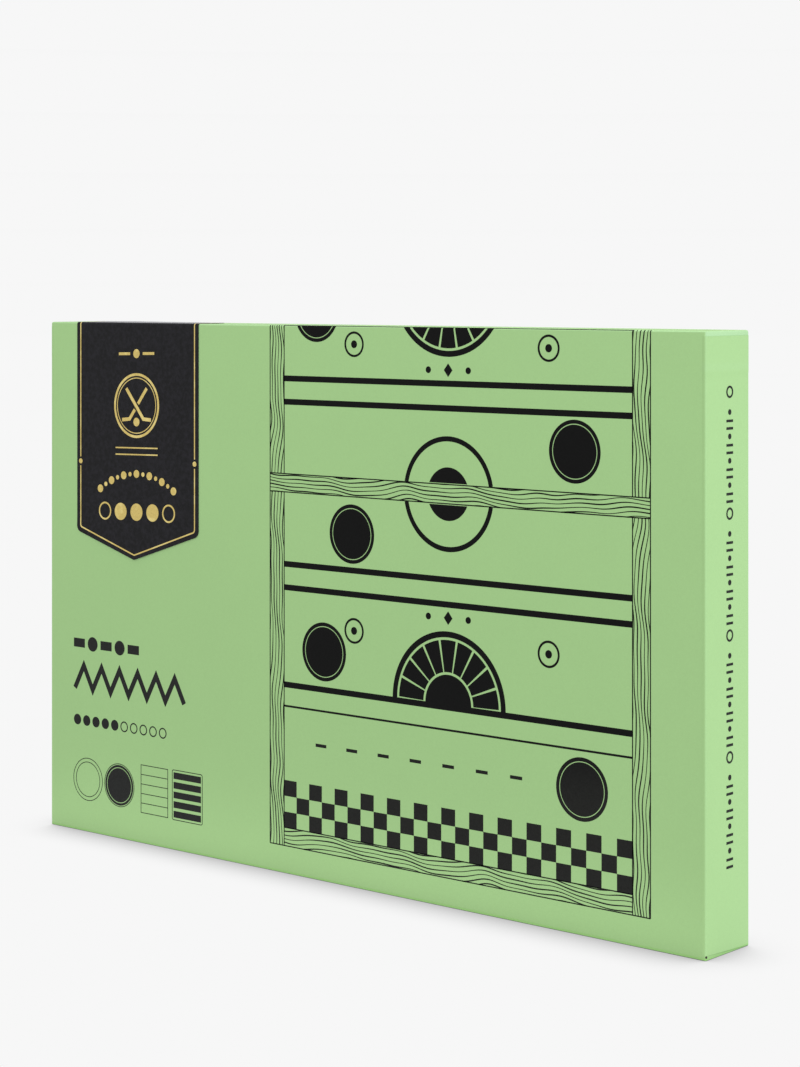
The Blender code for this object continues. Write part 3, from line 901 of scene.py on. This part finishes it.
class HOCKEY_OT_box_lid(Operator):
    """The lid: a wrapped shell, with the lap of its paper over each end"""

    bl_idname = "hockey.box_lid"
    bl_label = "Box lid"

    def execute(self, context):
        look = context.scene.hockey_paper
        step = Vector((look.paper, 0.0, 0.0))
        low, high = lid_low + step, lid_high - step
        opening, radius = (0.0, 1.0, 0.0), look.edge_radius
        mesh = shell_mesh("lid_shell", low, high, greyboard, opening, radius, 5)
        margin = 0.0012
        for polygon in mesh.polygons:
            middle = polygon.center
            inside = (
                low.x + margin < middle.x < high.x - margin
                and low.z + margin < middle.z < high.z - margin
                and low.y + 0.0010 < middle.y < high.y - 0.0003
            )
            polygon.material_index = 1 if inside else 0
        wrap = wrap_paper("green_wrap", lid_low, lid_high, self.seams)
        inner = lid_inside(lid_high.y - look.turn_in)
        new_piece("lid_shell", mesh, [wrap, inner], "lid", ["box_lid"])
        for side in (-1, 1):
            self.lap(side)
        return {"FINISHED"}

    # How far below the lid's top the lap ends, and the hidden tab of the top's paper under it.
    lap_drop = 0.0021
    tab_edge = lid_high.z - 0.0165

    def lap_foot(self, share):
        """The height of the lap's lower edge, from the front of the end to its rear."""
        return lid_low.z + 0.0019 - 0.0016 * share

    def seams(self, x, y, z):
        """A painted highlight on the strip over a lap, painted shade beside the lap, and painted shade
        in the tiny gap at a lower corner.
        """
        share = (y - lid_low.y) / (lid_high.y - lid_low.y)
        line = self.lap_foot(0.0) + share * (self.lap_foot(1.0) - self.lap_foot(0.0))
        on_end = abs(x).rise(lid_high.x - 0.0006, lid_high.x - 0.0003)
        # Painted shade below the lap's lower edge, strongest at the edge and towards the rear.
        depth = 1 - (line - z).rise(0.0001, 0.0006) * 0.80
        under = on_end * (line + 0.0001 - z).rise(0.0, 0.0001) * depth
        under = under * (0.45 + share.rise(0.1, 0.5) * 0.40)
        # The bare strip above the lap gets a painted highlight.
        above = z - lid_high.z + self.lap_drop
        strip = on_end * above.rise(-0.0001, 0.0)
        # A painted shade line along the lap's upper edge.
        over = strip * (1 - above.rise(0.0, 0.0004)) * 0.30
        # Painted shade: a dark spot for the hole at the lower front corner of each end.
        corner = Vector((lid_high.x - 0.0003, lid_low.y + 0.0006, lid_low.z + 0.0013))
        across, through, upward = abs(x) - corner.x, y - corner.y, z - corner.z
        reach = (across * across + through * through + upward * upward) ** 0.5
        return strip, under.most(over), 1 - reach.rise(0.00040, 0.00062)

    def lap(self, side):
        """The end flap of the wrap, folded round from the front and glued down last."""
        look = bpy.context.scene.hockey_paper
        radius, step = look.edge_radius, look.paper
        end, front, rim = lid_high.x - step, lid_low.y, lid_high.y
        course = Course((end - radius - 0.0008, front), (0.0, -1.0))
        course.go((end - radius, front), (0.0, -1.0))
        course.round((end - radius, front + radius), radius, -pi / 2, 0.0, 6)
        start_of_end = course.reach[-1]
        course.go((end, rim - radius), (1.0, 0.0))
        course.round((end - radius, rim - radius), radius, 0.0, pi / 2, 6)
        whole = course.reach[-1]
        low_front, low_rear = self.lap_foot(0.0), self.lap_foot(1.0)
        high = lid_high.z - self.lap_drop
        flap = Flat()
        edge = [(low_front, 0.0), (low_front, start_of_end), (low_rear, whole)]
        flap.outline(edge + [(high, whole), (high, 0.0)])
        flap.scored(1, course.reach[1:-1])
        flap.scored(0, [self.tab_edge + 0.0002 * part for part in range(-4, 5)])
        sink = 0.00007

        def place(across, along, level):
            point, out = course.at(along)
            share = min(1.0, along / 0.0030, (whole - along) / 0.0010 + 0.1)
            over_tab = min(1.0, max(0.0, 0.5 + (across - self.tab_edge) / 0.0016))
            height = level * max(0.06, share) if level > 0 else level
            if level > 0:
                height -= sink * (1 - over_tab ** 2 * (3 - 2 * over_tab)) * share
            spot = point + out * height
            return Vector((side * spot.x, spot.y, across))

        kind = "left" if side < 0 else "right"
        wrap = wrap_paper(f"green_lap_{kind}", lid_low, lid_high, self.ridge)
        flap.laid(f"end_lap_{kind}", place, -skin, step, wrap, "lid", "lid_wrap")

    def ridge(self, x, y, z):
        """Where the lap sinks below the edge of the tab under it: a painted highlight above, painted
        shade below.
        """
        above = z - self.tab_edge
        # Painted highlight above the tab's edge, painted shade just below it.
        pale = above.rise(0.0002, 0.0022) * (1 - above.rise(0.0022, 0.0060)) * 0.14
        shade = (1 - abs(above + 0.0006).rise(0.0, 0.0024)) * 0.045
        return pale, shade, 0.0


class HOCKEY_OT_box_tray(Operator):
    """The tray: a green wrapped shell and its grey lining"""

    bl_idname = "hockey.box_tray"
    bl_label = "Box tray"

    def execute(self, context):
        look = context.scene.hockey_paper
        opening, radius, overlap = (0.0, -1.0, 0.0), look.edge_radius, 0.00005
        mesh = shell_mesh("tray_shell", tray_low, tray_high, greyboard, opening, radius, 4)
        wrap = wrap_paper("green_tray_wrap", tray_low, tray_high)
        new_piece("tray_shell", mesh, [wrap], "tray", ["box_tray"])
        inset = Vector((greyboard, 0.0, greyboard)) - Vector((overlap, 0.0, overlap))
        low = tray_low + inset + Vector((0.0, look.turn_in * 0.8, 0.0))
        high = tray_high - inset - Vector((0.0, greyboard - overlap, 0.0))
        liner = shell_mesh("tray_lining", low, high, look.liner, opening, look.liner / 3, 1)
        new_piece("tray_lining", liner, [lining_paper()], "tray")
        return {"FINISHED"}


class HOCKEY_OT_label(Operator):
    """The black label over the upper edge, and its gold foil"""

    bl_idname = "hockey.label"
    bl_label = "Label"

    def execute(self, context):
        look = context.scene.hockey_paper
        course = lid_course()
        flat_top = course.reach[-2]
        end = flat_top + (label_high.y - lid_low.y - look.edge_radius)
        left, right = label_low.x, label_high.x
        middle = (left + right) / 2
        tip = label_low.z
        shoulder = tip + look.label_point
        lean = look.label_lean * (right - left) / 2
        outline = [
            (left, shoulder - lean, 0.0033),
            (middle - 0.00135, tip, 0.0020),
            (right, shoulder + lean, 0.0033),
            (right, end, 0.0),
            (left, end, 0.0),
        ]
        place = self.raised(course, left, right, tip, shoulder, end)
        folds = course.reach[1:-1] + [tip + 0.0015 * step for step in range(1, 16)]
        folds += [flat_top + 0.0030 * step for step in range(1, 5)]
        sheet = Flat()
        sheet.outline(rounded(outline))
        sheet.scored(1, folds)
        sheet.scored(0, [left + (right - left) * step / 24 for step in range(1, 24)])
        high = look.label_paper
        sheet.laid("label_sheet", place, skin, high, label_card(), "lid", "label_paper", ["box_label"])
        foil = Flat()
        self.draw_border(foil, outline, lean, end)
        ornaments = Flat()
        self.draw_ornaments(ornaments, middle)
        ornaments.leaning(look.label_lean, middle)
        foil.taken(ornaments)
        foil.scored(1, folds)
        low, high = look.label_paper - skin, look.label_paper + look.print_height
        foil.laid("label_foil", place, low, high, gold_foil(), "lid", "label_paper")
        return {"FINISHED"}

    def raised(self, course, left, right, tip, shoulder, end):
        """Lay the label on the lid, its pointed end and its rear edge standing off a little."""
        look = bpy.context.scene.hockey_paper
        middle, half = (left + right) / 2, (right - left) / 2
        on_lid = on_front(course)

        def place(across, along, level):
            share = abs(across - middle) / half
            edge = tip + (shoulder - tip) * share
            near = max(0.0, 1.0 - (along - edge) / 0.0065)
            curl = look.label_lift * near * near * (0.55 + 0.45 * (1 - share))
            rear = max(0.0, 1.0 - (end - along) / 0.0120)
            side = 0.45 + 0.55 * exp(-(((across - left - 0.0270) / 0.0260) ** 2))
            curl += look.label_rise * rear * rear * side
            return on_lid(across, along, level + curl)

        return place

    def draw_border(self, foil, outline, lean, end):
        """A line along the label's edge, broken by a small disc at each side."""
        inset, width = 0.0025, 0.00064
        break_height, break_half = 0.1755, 0.0021
        (left, low_left), (point, tip), (right, low_right) = [spot[:2] for spot in outline[:3]]
        left, right = left + inset, right - inset
        sides = ((left, break_height - lean), (right, break_height + lean))
        line = [
            (left, sides[0][1] - break_half, 0.0),
            (left, low_left + inset * 0.74, 0.0015),
            (point, tip + inset * 0.88, 0.0012),
            (right, low_right + inset * 0.74, 0.0015),
            (right, sides[1][1] - break_half, 0.0),
        ]
        foil.stroke(rounded(line), width)
        for across, level in sides:
            foil.bar(across - width / 2, level + break_half, across + width / 2, end - 0.0009)
            foil.disc(across, level, 0.00120, steps=28)

    def draw_ornaments(self, foil, middle):
        """A dash with a disc, a roundel with crossed sticks, an arc of dots and five discs."""
        for side in (-1, 1):
            near, far = sorted((middle + side * 0.0042, middle + side * 0.0118))
            foil.bar(near, 0.22520, far, 0.22650)
        foil.disc(middle, 0.22585, 0.0021, steps=32)
        centre = 0.20180
        foil.ring(middle, centre, 0.01500, 0.01380)
        foil.ring(middle, centre, 0.01300, 0.01255)
        for side in (-1, 1):
            self.draw_stick(foil, middle, centre - 0.0004, side)
        foil.disc(middle, centre - 0.00760, 0.00200, steps=36)
        for level in (0.18190, 0.17880):
            foil.bar(middle - 0.0140, level, middle + 0.0140, level + 0.00062)
        reach, arc_foot = 0.0440, 0.1262
        for step in range(-6, 7):
            turn = pi / 2 - radians(5.6) * step
            radius = 0.00105 if step % 2 else 0.00185
            across, along = middle + reach * cos(turn), arc_foot + reach * sin(turn)
            foil.disc(across, along, radius, steps=28)
        level = 0.1525
        for step in range(-2, 3):
            across = middle + 0.0106 * step
            if abs(step) == 2:
                foil.ring(across, level, 0.0042, 0.0034)
            else:
                foil.disc(across, level, 0.0040)

    def draw_stick(self, foil, middle, centre, side):
        """A stick that leans to one side, its blade turned out at the foot."""
        width = 0.00165
        top = Vector((middle - side * 0.0068, centre + 0.0084))
        heel = Vector((middle + side * 0.0046, centre - 0.0058))
        toe = heel + Vector((side * 0.0050, -0.0004))
        if side > 0:
            foil.stroke([top, heel, toe], width)
            return
        cross = Vector((middle, centre + 0.0084 - 0.0068 * 0.0142 / 0.0114))
        gap = (heel - top).normalized() * 0.0017
        foil.stroke([top, cross - gap], width)
        foil.stroke([cross + gap, heel, toe], width)


def rounded(corners, steps=6):
    """Points of an outline or line from corners of (across, along, radius)."""
    points = []
    for place, (across, along, radius) in enumerate(corners):
        corner = Vector((across, along))
        if radius == 0.0:
            points.append((across, along))
            continue
        before = Vector(corners[place - 1][:2]) - corner
        after = Vector(corners[(place + 1) % len(corners)][:2]) - corner
        before.normalize()
        after.normalize()
        half = before.angle(after) / 2
        centre = corner + (before + after).normalized() * radius / sin(half)
        start = corner + before * radius * cos(half) / sin(half) - centre
        turn = (pi - 2 * half) * (-1 if before.cross(after) > 0 else 1)
        for step in range(steps + 1):
            spot = centre + Matrix.Rotation(turn * step / steps, 2) @ start
            points.append((spot.x, spot.y))
    return points


def draw_rink(flat, skipped=()):
    """The rink's pattern, drawn across and along the board from its middle."""
    stripe = bpy.context.scene.hockey_print.stripe
    for half in (-1, 1):
        turn = 0.0 if half < 0 else pi
        for along in (0.0400, 0.0515):
            middle = half * along
            flat.bar(-field_half, middle - stripe / 2, field_half, middle + stripe / 2)
        goal = half * 0.0980
        flat.ring(0.0, goal, 0.0340, 0.0312, 56, turn, pi)
        for wedge in range(9):
            start = turn + radians(20 * wedge + 1.2)
            flat.ring(0.0, goal, 0.0300, 0.0150, 8, start, radians(17.6))
        flat.disc(0.0, goal, 0.0138, 40, turn, pi)
        low, high = sorted((goal, goal + half * stripe))
        flat.bar(-field_half, low, field_half, high)
        marks, spots = half * 0.0578, half * 0.0690
        for side in (-1, 1):
            flat.ring(side * 0.0585, spots, 0.0062, 0.0051, 48)
            flat.disc(side * 0.0585, spots, 0.0019, 28)
            flat.disc(side * 0.0120, marks, 0.0016, 24)
        tall, broad = 0.0032, 0.0026
        flat.outline([(0.0, marks - tall), (broad, marks), (0.0, marks + tall), (-broad, marks)])
        edge = 10.5 if half > 0 else 190.5
        flat.ring(0.0, 0.0, 0.0270, 0.0246, 60, radians(edge), radians(159))
        edge = 24.0 if half > 0 else 204.0
        flat.disc(0.0, 0.0, 0.0125, 36, radians(edge), radians(132))
        dashes = half * 0.1270
        for step in range(-4, 5):
            across = step * 0.0200
            spot = Vector((across, dashes))
            if any((spot - Vector(other)).length < 0.019 for other in skipped):
                continue
            flat.bar(across - 0.0035, dashes - 0.0008, across + 0.0035, dashes + 0.0008)
        columns, row_height = 25, 0.0078
        column_width = 2 * field_half / columns
        for row in range(3):
            near = field_end - row_height * (row + 1)
            low, high = sorted((half * near, half * (near + row_height)))
            for column in range(row % 2, columns, 2):
                left = -field_half + column * column_width
                flat.bar(left, low, left + column_width, high)


def grain_sway(along, line):
    """How far a grain line sways to the side, nearly as its neighbours do."""
    slow = 0.00125 * sin(2 * pi * along / 0.1070 + 0.13 * line)
    swell = 0.00072 * sin(2 * pi * along / 0.0460 + 0.30 * line + 0.9)
    ripple = 0.00022 * sin(2 * pi * along / 0.0215 + 0.55 * line)
    bump = 0.0
    for eye, height in ((-0.151, 0.00105), (-0.083, -0.00080), (0.006, 0.00100), (0.092, -0.00110)):
        bump += height * exp(-(((along - eye) / 0.0085) ** 2))
    return slow + swell + ripple + bump


def runs_between(course, low, high):
    """The stretches of a line that lie between two levels, each led out to the level."""
    runs, run = [], []
    for before, point in zip([None] + course, course):
        inside = low < point[1] < high
        if inside and not run and before is not None:
            run.append(before)
        if inside or run:
            run.append(point)
        if run and not inside:
            runs.append(run)
            run = []
    runs.append(run)
    held = []
    for run in runs:
        if len(run) > 2:
            held.append([(along, min(high, max(low, across))) for along, across in run])
    return held


def draw_grained_rail(flat, start, end, low, high, upright, phase=0.0):
    """A rail in outline, with grain lines that sway along it and run out into its edges."""
    look = bpy.context.scene.hockey_print
    span, step_length = end - start, 0.0011
    steps = max(8, int(span / step_length))
    for across in (low, high):
        line = [(start, across), (end, across)]
        flat.stroke([point[::-1] if upright else point for point in line], look.hairline)
    for line in range(-2, int((high - low) / look.grain_pitch) + 4):
        course = []
        for step in range(steps + 1):
            along = start + span * step / steps
            level = low + look.grain_pitch * (line + 0.4)
            course.append((along, level + grain_sway(along + phase, line)))
        for run in runs_between(course, low, high):
            widths = []
            for along, across in run:
                weight = 1.0 + 0.30 * sin(2 * pi * along / 0.0530 + 1.9 * line)
                widths.append(look.grain_line * weight)
            flat.stroke([point[::-1] if upright else point for point in run], widths)


def draw_plan(look):
    """The board seen from above: its rails, bar, cords, rink and a few pucks."""
    flat = Flat()
    outer = field_half + rail_width
    pucks = [(-0.0600, -0.0225), (0.0730, 0.0230), (-0.0780, -0.0810), (0.0770, -0.1275)]
    pucks.append((-0.0830, 0.0840))
    draw_rink(flat, pucks)
    edge = look.puck / 2
    for across, along in pucks:
        flat.ring(across, along, edge, edge - look.puck_rim)
        flat.disc(across, along, edge - look.puck_rim - look.puck_gap)
    cord, thin = 0.110, 0.0005
    for half in (-1, 1):
        flat.bar(-field_half, half * cord - thin, field_half, half * cord + thin)
    line = look.hairline / 2
    beyond_fold = board_end + 0.03
    for side in (-1, 1):
        low, high = sorted((side * field_half, side * outer))
        draw_grained_rail(flat, -board_end, -bar_half, low, high, True, 0.011 * side)
        draw_grained_rail(flat, bar_half, beyond_fold, low, high, True, 0.024 * side)
        flat.bar(low, -board_end - line, high, -board_end + line)
    draw_grained_rail(flat, -outer, outer, -bar_half, bar_half, False, 0.031)
    for across in (-outer, outer):
        flat.bar(across - line, -bar_half, across + line, bar_half)
    draw_grained_rail(flat, -field_half, field_half, -board_end, -field_end, False, -0.017)
    return flat


class HOCKEY_OT_lid_print(Operator):
    """The black print of the lid: the plan, the ornaments beside it and those on the end"""

    bl_idname = "hockey.lid_print"
    bl_label = "Lid print"

    def execute(self, context):
        look = context.scene.hockey_print
        paper = context.scene.hockey_paper
        black = printed_ink("black_print_ink", paper.ink, paper.low_ink)
        grey = printed_ink("grey_print_ink", paper.soft_ink)
        course = lid_course()
        on_lid = on_front(course)
        middle = look.foot + board_end * look.scale
        folds = [(reach - middle) / look.scale for reach in course.reach]
        plan = draw_plan(look)
        line = look.hairline / 2
        plan.bar(-field_half, folds[5] - line, field_half, folds[5] + line)
        plan.cut(1, folds[6], clear=True)
        plan.scored(1, folds[1:-1])

        def place(across, along, level):
            return on_lid(look.across + across * look.scale, middle + along * look.scale, level)

        low, high = -skin, paper.print_height
        plan.laid("printed_plan", place, low, high, black, "lid", "lid_wrap")
        side = Flat()
        self.draw_title(side)
        self.draw_contents(side)
        side.laid("printed_ornaments", on_lid, low, high, grey, "lid", "lid_wrap")
        for turn in (-1, 1):
            self.lay_end(turn, grey, paper)
        return {"FINISHED"}

    def draw_title(self, flat):
        """A row of dashes and discs, a bold zigzag, and one disc for each puck."""
        left = -0.1698
        for step in range(5):
            across = left + 0.0038 + 0.0092 * step
            if step % 2:
                flat.disc(across, 0.0885, 0.0034, 40)
            else:
                flat.bar(across - 0.0038, 0.0864, across + 0.0038, 0.0906)
        low, high, half_wave = 0.0670, 0.0780, 0.0122 / 2
        points = []
        for step in range(13):
            points.append((left + 0.0008 + half_wave * step, high if step % 2 else low))
        flat.stroke(points, 0.0026)
        level, radius = 0.0522, 0.0025
        for step in range(10):
            across = left + 0.0025 + 0.0064 * step
            if step < 5:
                flat.disc(across, level, radius, 36)
            else:
                flat.ring(across, level, radius, 0.0019, 36)

    def draw_contents(self, flat):
        """The pucks from above and from the side: five plain ones and five dark ones."""
        thin, low, level = 0.00034, 0.0140, 0.0246
        outer, inner = 0.0101, 0.0083
        plain, dark = -0.1600, -0.1386
        flat.ring(plain, level, outer, outer - thin)
        flat.ring(plain, level, inner, inner - thin)
        flat.ring(dark, level, outer, outer - thin)
        flat.ring(dark, level, 0.0094, inner)
        flat.disc(dark, level, inner - thin)
        slab, gap, wide = 0.0030, 0.0014, 0.0176
        high = low + 5 * (slab + gap)
        left = -0.1240
        stack = [(left, low), (left + wide, low), (left + wide, high), (left, high)]
        flat.stroke(stack, thin, closed=True)
        for step in range(1, 5):
            level = low + step * (slab + gap)
            flat.bar(left + thin / 2, level - thin / 2, left + wide - thin / 2, level + thin / 2)
        left = -0.1026
        for step in range(5):
            level = low + gap / 2 + step * (slab + gap)
            flat.bar(left, level, left + wide, level + slab)
        low, high = low - gap / 4, high + gap / 4
        left, right = left - gap * 0.6, left + wide + gap * 0.6
        corners = [(left, low), (right, low), (right, high), (left, high)]
        flat.stroke(rounded([(*corner, 0.0009) for corner in corners]), thin, closed=True)

    def lay_end(self, side, ink, paper):
        """A column of small marks on an end of the lid."""
        flat = Flat()
        middle, step = 0.0008, 0.0094
        for place in range(20):
            along = 0.0330 + step * place
            if place % 5 == 4:
                flat.ring(middle, along + step / 2, 0.0024, 0.0016, 32)
                continue
            flat.bar(middle - 0.0023, along - 0.0005, middle + 0.0023, along + 0.0005)
            flat.bar(middle - 0.0023, along + 0.0024, middle + 0.0023, along + 0.0034)
            flat.disc(middle, along + 0.0063, 0.0011, 20)

        def set_on(across, along, level):
            return Vector((side * (lid_high.x + level), across, along))

        name = "end_marks_left" if side < 0 else "end_marks_right"
        flat.laid(name, set_on, -skin, paper.print_height, ink, "lid", "lid_wrap")


class HOCKEY_OT_board(Operator):
    """The wood of the rails, the bar, the panel and the dowels, and the rink on the panel"""

    bl_idname = "hockey.board"
    bl_label = "Board"

    def execute(self, context):
        look = context.scene.hockey_wood
        paper = context.scene.hockey_paper
        lying = wood("rail_wood_lying", look.rail, look.rail_dark, "X", 0.0016)
        standing = wood("rail_wood_standing", look.rail, look.rail_dark, "Z", 0.0016)
        for node in ("side_rail_lower", "side_rail_upper"):
            dress(node, lying)
        for node in ("end_rail_left", "end_rail_right", "centre_bar"):
            dress(node, standing)
        dress("playing_panel", wood("panel_plywood", look.ply, look.ply_dark, "X", 0.0032))
        dowels = [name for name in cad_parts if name.startswith("dowel_")]
        centres = set()
        for name in dowels:
            low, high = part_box(name)
            centre = (low + high) / 2
            centres.add((round(centre.x, 5), round(centre.y, 5)))
        ends = end_grain("dowel_end_grain", look.rail, look.rail_dark, sorted(centres))
        for name in dowels:
            dress(name, ends)
        pads = foot_rubber()
        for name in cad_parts:
            if name.startswith("foot_"):
                dress(name, pads)
        rink = Flat()
        draw_rink(rink)

        def place(across, along, level):
            return Vector((along, panel_low.y - level, field_middle + across))

        black = printed_ink("black_rink_ink", paper.ink)
        high = paper.print_height
        rink.laid("printed_rink", place, -skin, high, black, "board", "panel_wood")
        return {"FINISHED"}


def smooth_course(points, step):
    """Points about a step apart on a smooth line through others."""
    course = []
    for place in range(len(points) - 1):
        one, two = points[place], points[place + 1]
        before = points[place - 1] if place else one * 2 - two
        after = points[place + 2] if place + 2 < len(points) else two * 2 - one
        count = max(1, round((two - one).length / step))
        for part in range(count):
            share = part / count
            first = (two - before) * share
            second = (before * 2 - one * 5 + two * 4 - after) * share ** 2
            third = (one * 3 - before - two * 3 + after) * share ** 3
            course.append(one + (first + second + third) * 0.5)
    course.append(points[-1])
    return course


class HOCKEY_OT_cords(Operator):
    """The braided elastic cords, each in two halves, and their overhand knots"""

    bl_idname = "hockey.cords"
    bl_label = "Elastic cords"

    # The middle of a cord drawn tight in an overhand knot, in cord diameters, from where it
    # comes in to its cut end.
    knot = (
        (-0.09, 0.26, -1.87), (-0.01, 0.26, -1.39), (0.09, 0.26, -0.92), (0.24, 0.28, -0.47),
        (0.53, 0.31, -0.09), (0.82, 0.14, 0.25), (0.95, -0.20, 0.55), (0.89, -0.61, 0.78),
        (0.62, -0.98, 0.91), (0.21, -1.22, 0.92), (-0.26, -1.26, 0.83), (-0.67, -1.09, 0.66),
        (-0.93, -0.76, 0.45), (-0.99, -0.33, 0.24), (-0.85, 0.10, 0.08), (-0.68, 0.52, -0.08),
        (-0.48, 0.93, -0.24), (-0.15, 1.19, -0.45), (0.27, 1.25, -0.66), (0.69, 1.09, -0.83),
        (0.99, 0.74, -0.92), (1.13, 0.28, -0.91), (1.07, -0.17, -0.78), (0.83, -0.51, -0.55),
        (0.49, -0.67, -0.25), (0.17, -0.59, 0.09), (-0.02, -0.37, 0.47), (-0.11, -0.25, 0.92),
        (-0.19, -0.18, 1.39), (-0.24, -0.12, 1.87),
    )

    def execute(self, context):
        look = context.scene.hockey_cord
        materials = [braid_cover(), cord_core()]
        for side in ("left", "right"):
            node = f"elastic_{side}"
            low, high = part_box(node)
            centre = (low + high) / 2
            ends = [Vector((centre.x, centre.y, level)) for level in (low.z, centre.z, high.z)]
            halves = (("lower", ends[0], ends[1], ends[0]), ("upper", ends[1], ends[2], ends[2]))
            for part, start, end, held in halves:
                rings = int((end - start).length / look.ring)
                path = [start.lerp(end, ring / rings) for ring in range(rings + 1)]
                reach = (start - ends[0]).length
                name = f"{node}_{part}"
                mesh = self.braided(name, path, (high.x - low.x) / 2, reach)
                replaced = [node] if part == "lower" else []
                piece = new_piece(name, mesh, materials, None, replaced)
                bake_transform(piece)
            for part, way in (("lower", -1), ("upper", 1)):
                self.tie(f"elastic_knot_{part}_{side}", way, materials)
        return {"FINISHED"}

    def tie(self, node, way, materials):
        """A knot in its recess, its cut end pointing out of the board."""
        look = bpy.context.scene.hockey_cord
        low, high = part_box(node)
        centre = (low + high) / 2
        points = []
        for x, y, z in self.knot:
            points.append(centre + Vector((x, y * way, z * way)) * look.knotted)
        path = smooth_course(points, look.ring * 0.7)
        name = f"{node}_tied"
        mesh = self.braided(name, path, look.knotted / 2, 0.0)
        new_piece(name, mesh, materials, "board", [node])

    def braided(self, name, path, radius, reach):
        """A tube along a path with its yarns woven over and under each other."""
        look = bpy.context.scene.hockey_cord
        steps, yarns, core_share = 20, 4, 0.72
        side = Vector((1.0, 0.0, 0.0))
        shape = bmesh.new()
        lines = []
        for place, point in enumerate(path):
            way = path[min(place + 1, len(path) - 1)] - path[max(place - 1, 0)]
            way.normalize()
            side = (side - way * side.dot(way)).normalized()
            up = way.cross(side)
            if place:
                reach += (point - path[place - 1]).length
            swing = 2 * pi * reach / look.pitch
            line = []
            for step in range(steps):
                turn = 2 * pi * step / steps
                over = sin(yarns * (turn + swing)) * sin(yarns * (turn - swing))
                out = side * cos(turn) + up * sin(turn)
                line.append(shape.verts.new(point + out * (radius - look.yarn + look.yarn * over)))
            lines.append(line)
        for one, other in zip(lines, lines[1:]):
            joined(shape, one, other)
        for line, point in ((lines[0], path[0]), (lines[-1], path[-1])):
            core = [shape.verts.new(point.lerp(vert.co, core_share)) for vert in line]
            joined(shape, line, core)
            shape.faces.new(core).material_index = 1
        bmesh.ops.recalc_face_normals(shape, faces=shape.faces)
        return mesh_of(shape, name)


class HOCKEY_OT_pucks(Operator):
    """The turned wooden pucks, five stained and five plain, each with a ring cut in its face"""

    bl_idname = "hockey.pucks"
    bl_label = "Pucks"

    def execute(self, context):
        look = context.scene.hockey_wood
        stained = stained_wood()
        plain = wood("plain_puck_wood", look.puck, look.puck_dark, "X", 0.0022)
        burnt = wood("puck_ring_wood", look.rail_dark, scaled(look.rail_dark, 0.4), "X", 0.0022)
        for kind, face, groove in (("dark", stained, plain), ("light", plain, burnt)):
            for place in range(1, 6):
                name = f"{kind}_puck_{place}"
                mesh, body, slot = self.turned(name), f"{kind}_{place}", f"{kind}_puck"
                new_piece(f"{name}_turned", mesh, [face, groove], body, [name])
        return {"FINISHED"}

    def turned(self, name):
        """A puck turned about an axis along Y, its ring groove as a second material."""
        low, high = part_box(name)
        centre = (low + high) / 2
        edge = bpy.context.scene.hockey_wood.puck_edge
        radius, half = (high.x - low.x) / 2, (high.y - low.y) / 2
        ring, width, depth, steps = 0.0111, 0.0010, 0.0004, 96
        profile = [
            (ring - width / 2 - 0.0001, half),
            (ring - width / 2, half - 0.00005),
            (ring - width / 4, half - depth),
            (ring + width / 4, half - depth),
            (ring + width / 2, half - 0.00005),
            (ring + width / 2 + 0.0001, half),
        ]
        for step in range(7):
            turn = pi / 2 * step / 6
            profile.append((radius - edge + edge * sin(turn), half - edge + edge * cos(turn)))
        profile += [(reach, -level) for reach, level in reversed(profile)]
        shape = bmesh.new()
        lines = []
        for reach, level in profile:
            points = [Vector((x, -level, z)) for x, z in arc(0.0, 0.0, reach, steps, 0.0, 2 * pi)]
            lines.append([shape.verts.new(centre + point) for point in points])
        last = len(profile) - 2
        for place, (one, other) in enumerate(zip(lines, lines[1:])):
            cut = 1 <= place <= 3 or last - 3 <= place <= last - 1
            for face in joined(shape, one, other):
                face.material_index = 1 if cut else 0
        shape.faces.new(lines[0])
        shape.faces.new(lines[-1])
        bmesh.ops.recalc_face_normals(shape, faces=shape.faces)
        return mesh_of(shape, name)


class HOCKEY_PT_pieces(Panel):
    """The steps that dress the game, in order"""

    bl_idname = "HOCKEY_PT_pieces"
    bl_label = "Table hockey"
    bl_space_type = "VIEW_3D"
    bl_region_type = "UI"
    bl_category = "Table hockey"

    def draw(self, context):
        for step in STEPS:
            self.layout.operator(step.bl_idname)
        for name in GROUPS:
            group = getattr(context.scene, name)
            box = self.layout.box()
            for field in group.__annotations__:
                box.prop(group, field)


GROUPS = {
    "hockey_paper": HockeyPaper,
    "hockey_print": HockeyPrint,
    "hockey_wood": HockeyWood,
    "hockey_cord": HockeyCord,
    "hockey_studio": HockeyStudio,
}

STEPS = (
    HOCKEY_OT_stage,
    HOCKEY_OT_box_lid,
    HOCKEY_OT_box_tray,
    HOCKEY_OT_label,
    HOCKEY_OT_lid_print,
    HOCKEY_OT_board,
    HOCKEY_OT_cords,
    HOCKEY_OT_pucks,
)


def register():
    """Make the properties, the steps and the panel known."""
    for name, group in GROUPS.items():
        bpy.utils.register_class(group)
        setattr(bpy.types.Scene, name, PointerProperty(type=group))
    for step in STEPS:
        bpy.utils.register_class(step)
    bpy.utils.register_class(HOCKEY_PT_pieces)


def unregister():
    """Take them away again."""
    bpy.utils.unregister_class(HOCKEY_PT_pieces)
    for step in reversed(STEPS):
        bpy.utils.unregister_class(step)
    for name, group in reversed(list(GROUPS.items())):
        delattr(bpy.types.Scene, name)
        bpy.utils.unregister_class(group)


def main():
    """Dress the game step by step."""
    register()
    bpy.ops.hockey.stage()
    bpy.ops.hockey.box_lid()
    bpy.ops.hockey.box_tray()
    bpy.ops.hockey.label()
    bpy.ops.hockey.lid_print()
    bpy.ops.hockey.board()
    bpy.ops.hockey.cords()
    bpy.ops.hockey.pucks()


if __name__ == "__main__":
    main()
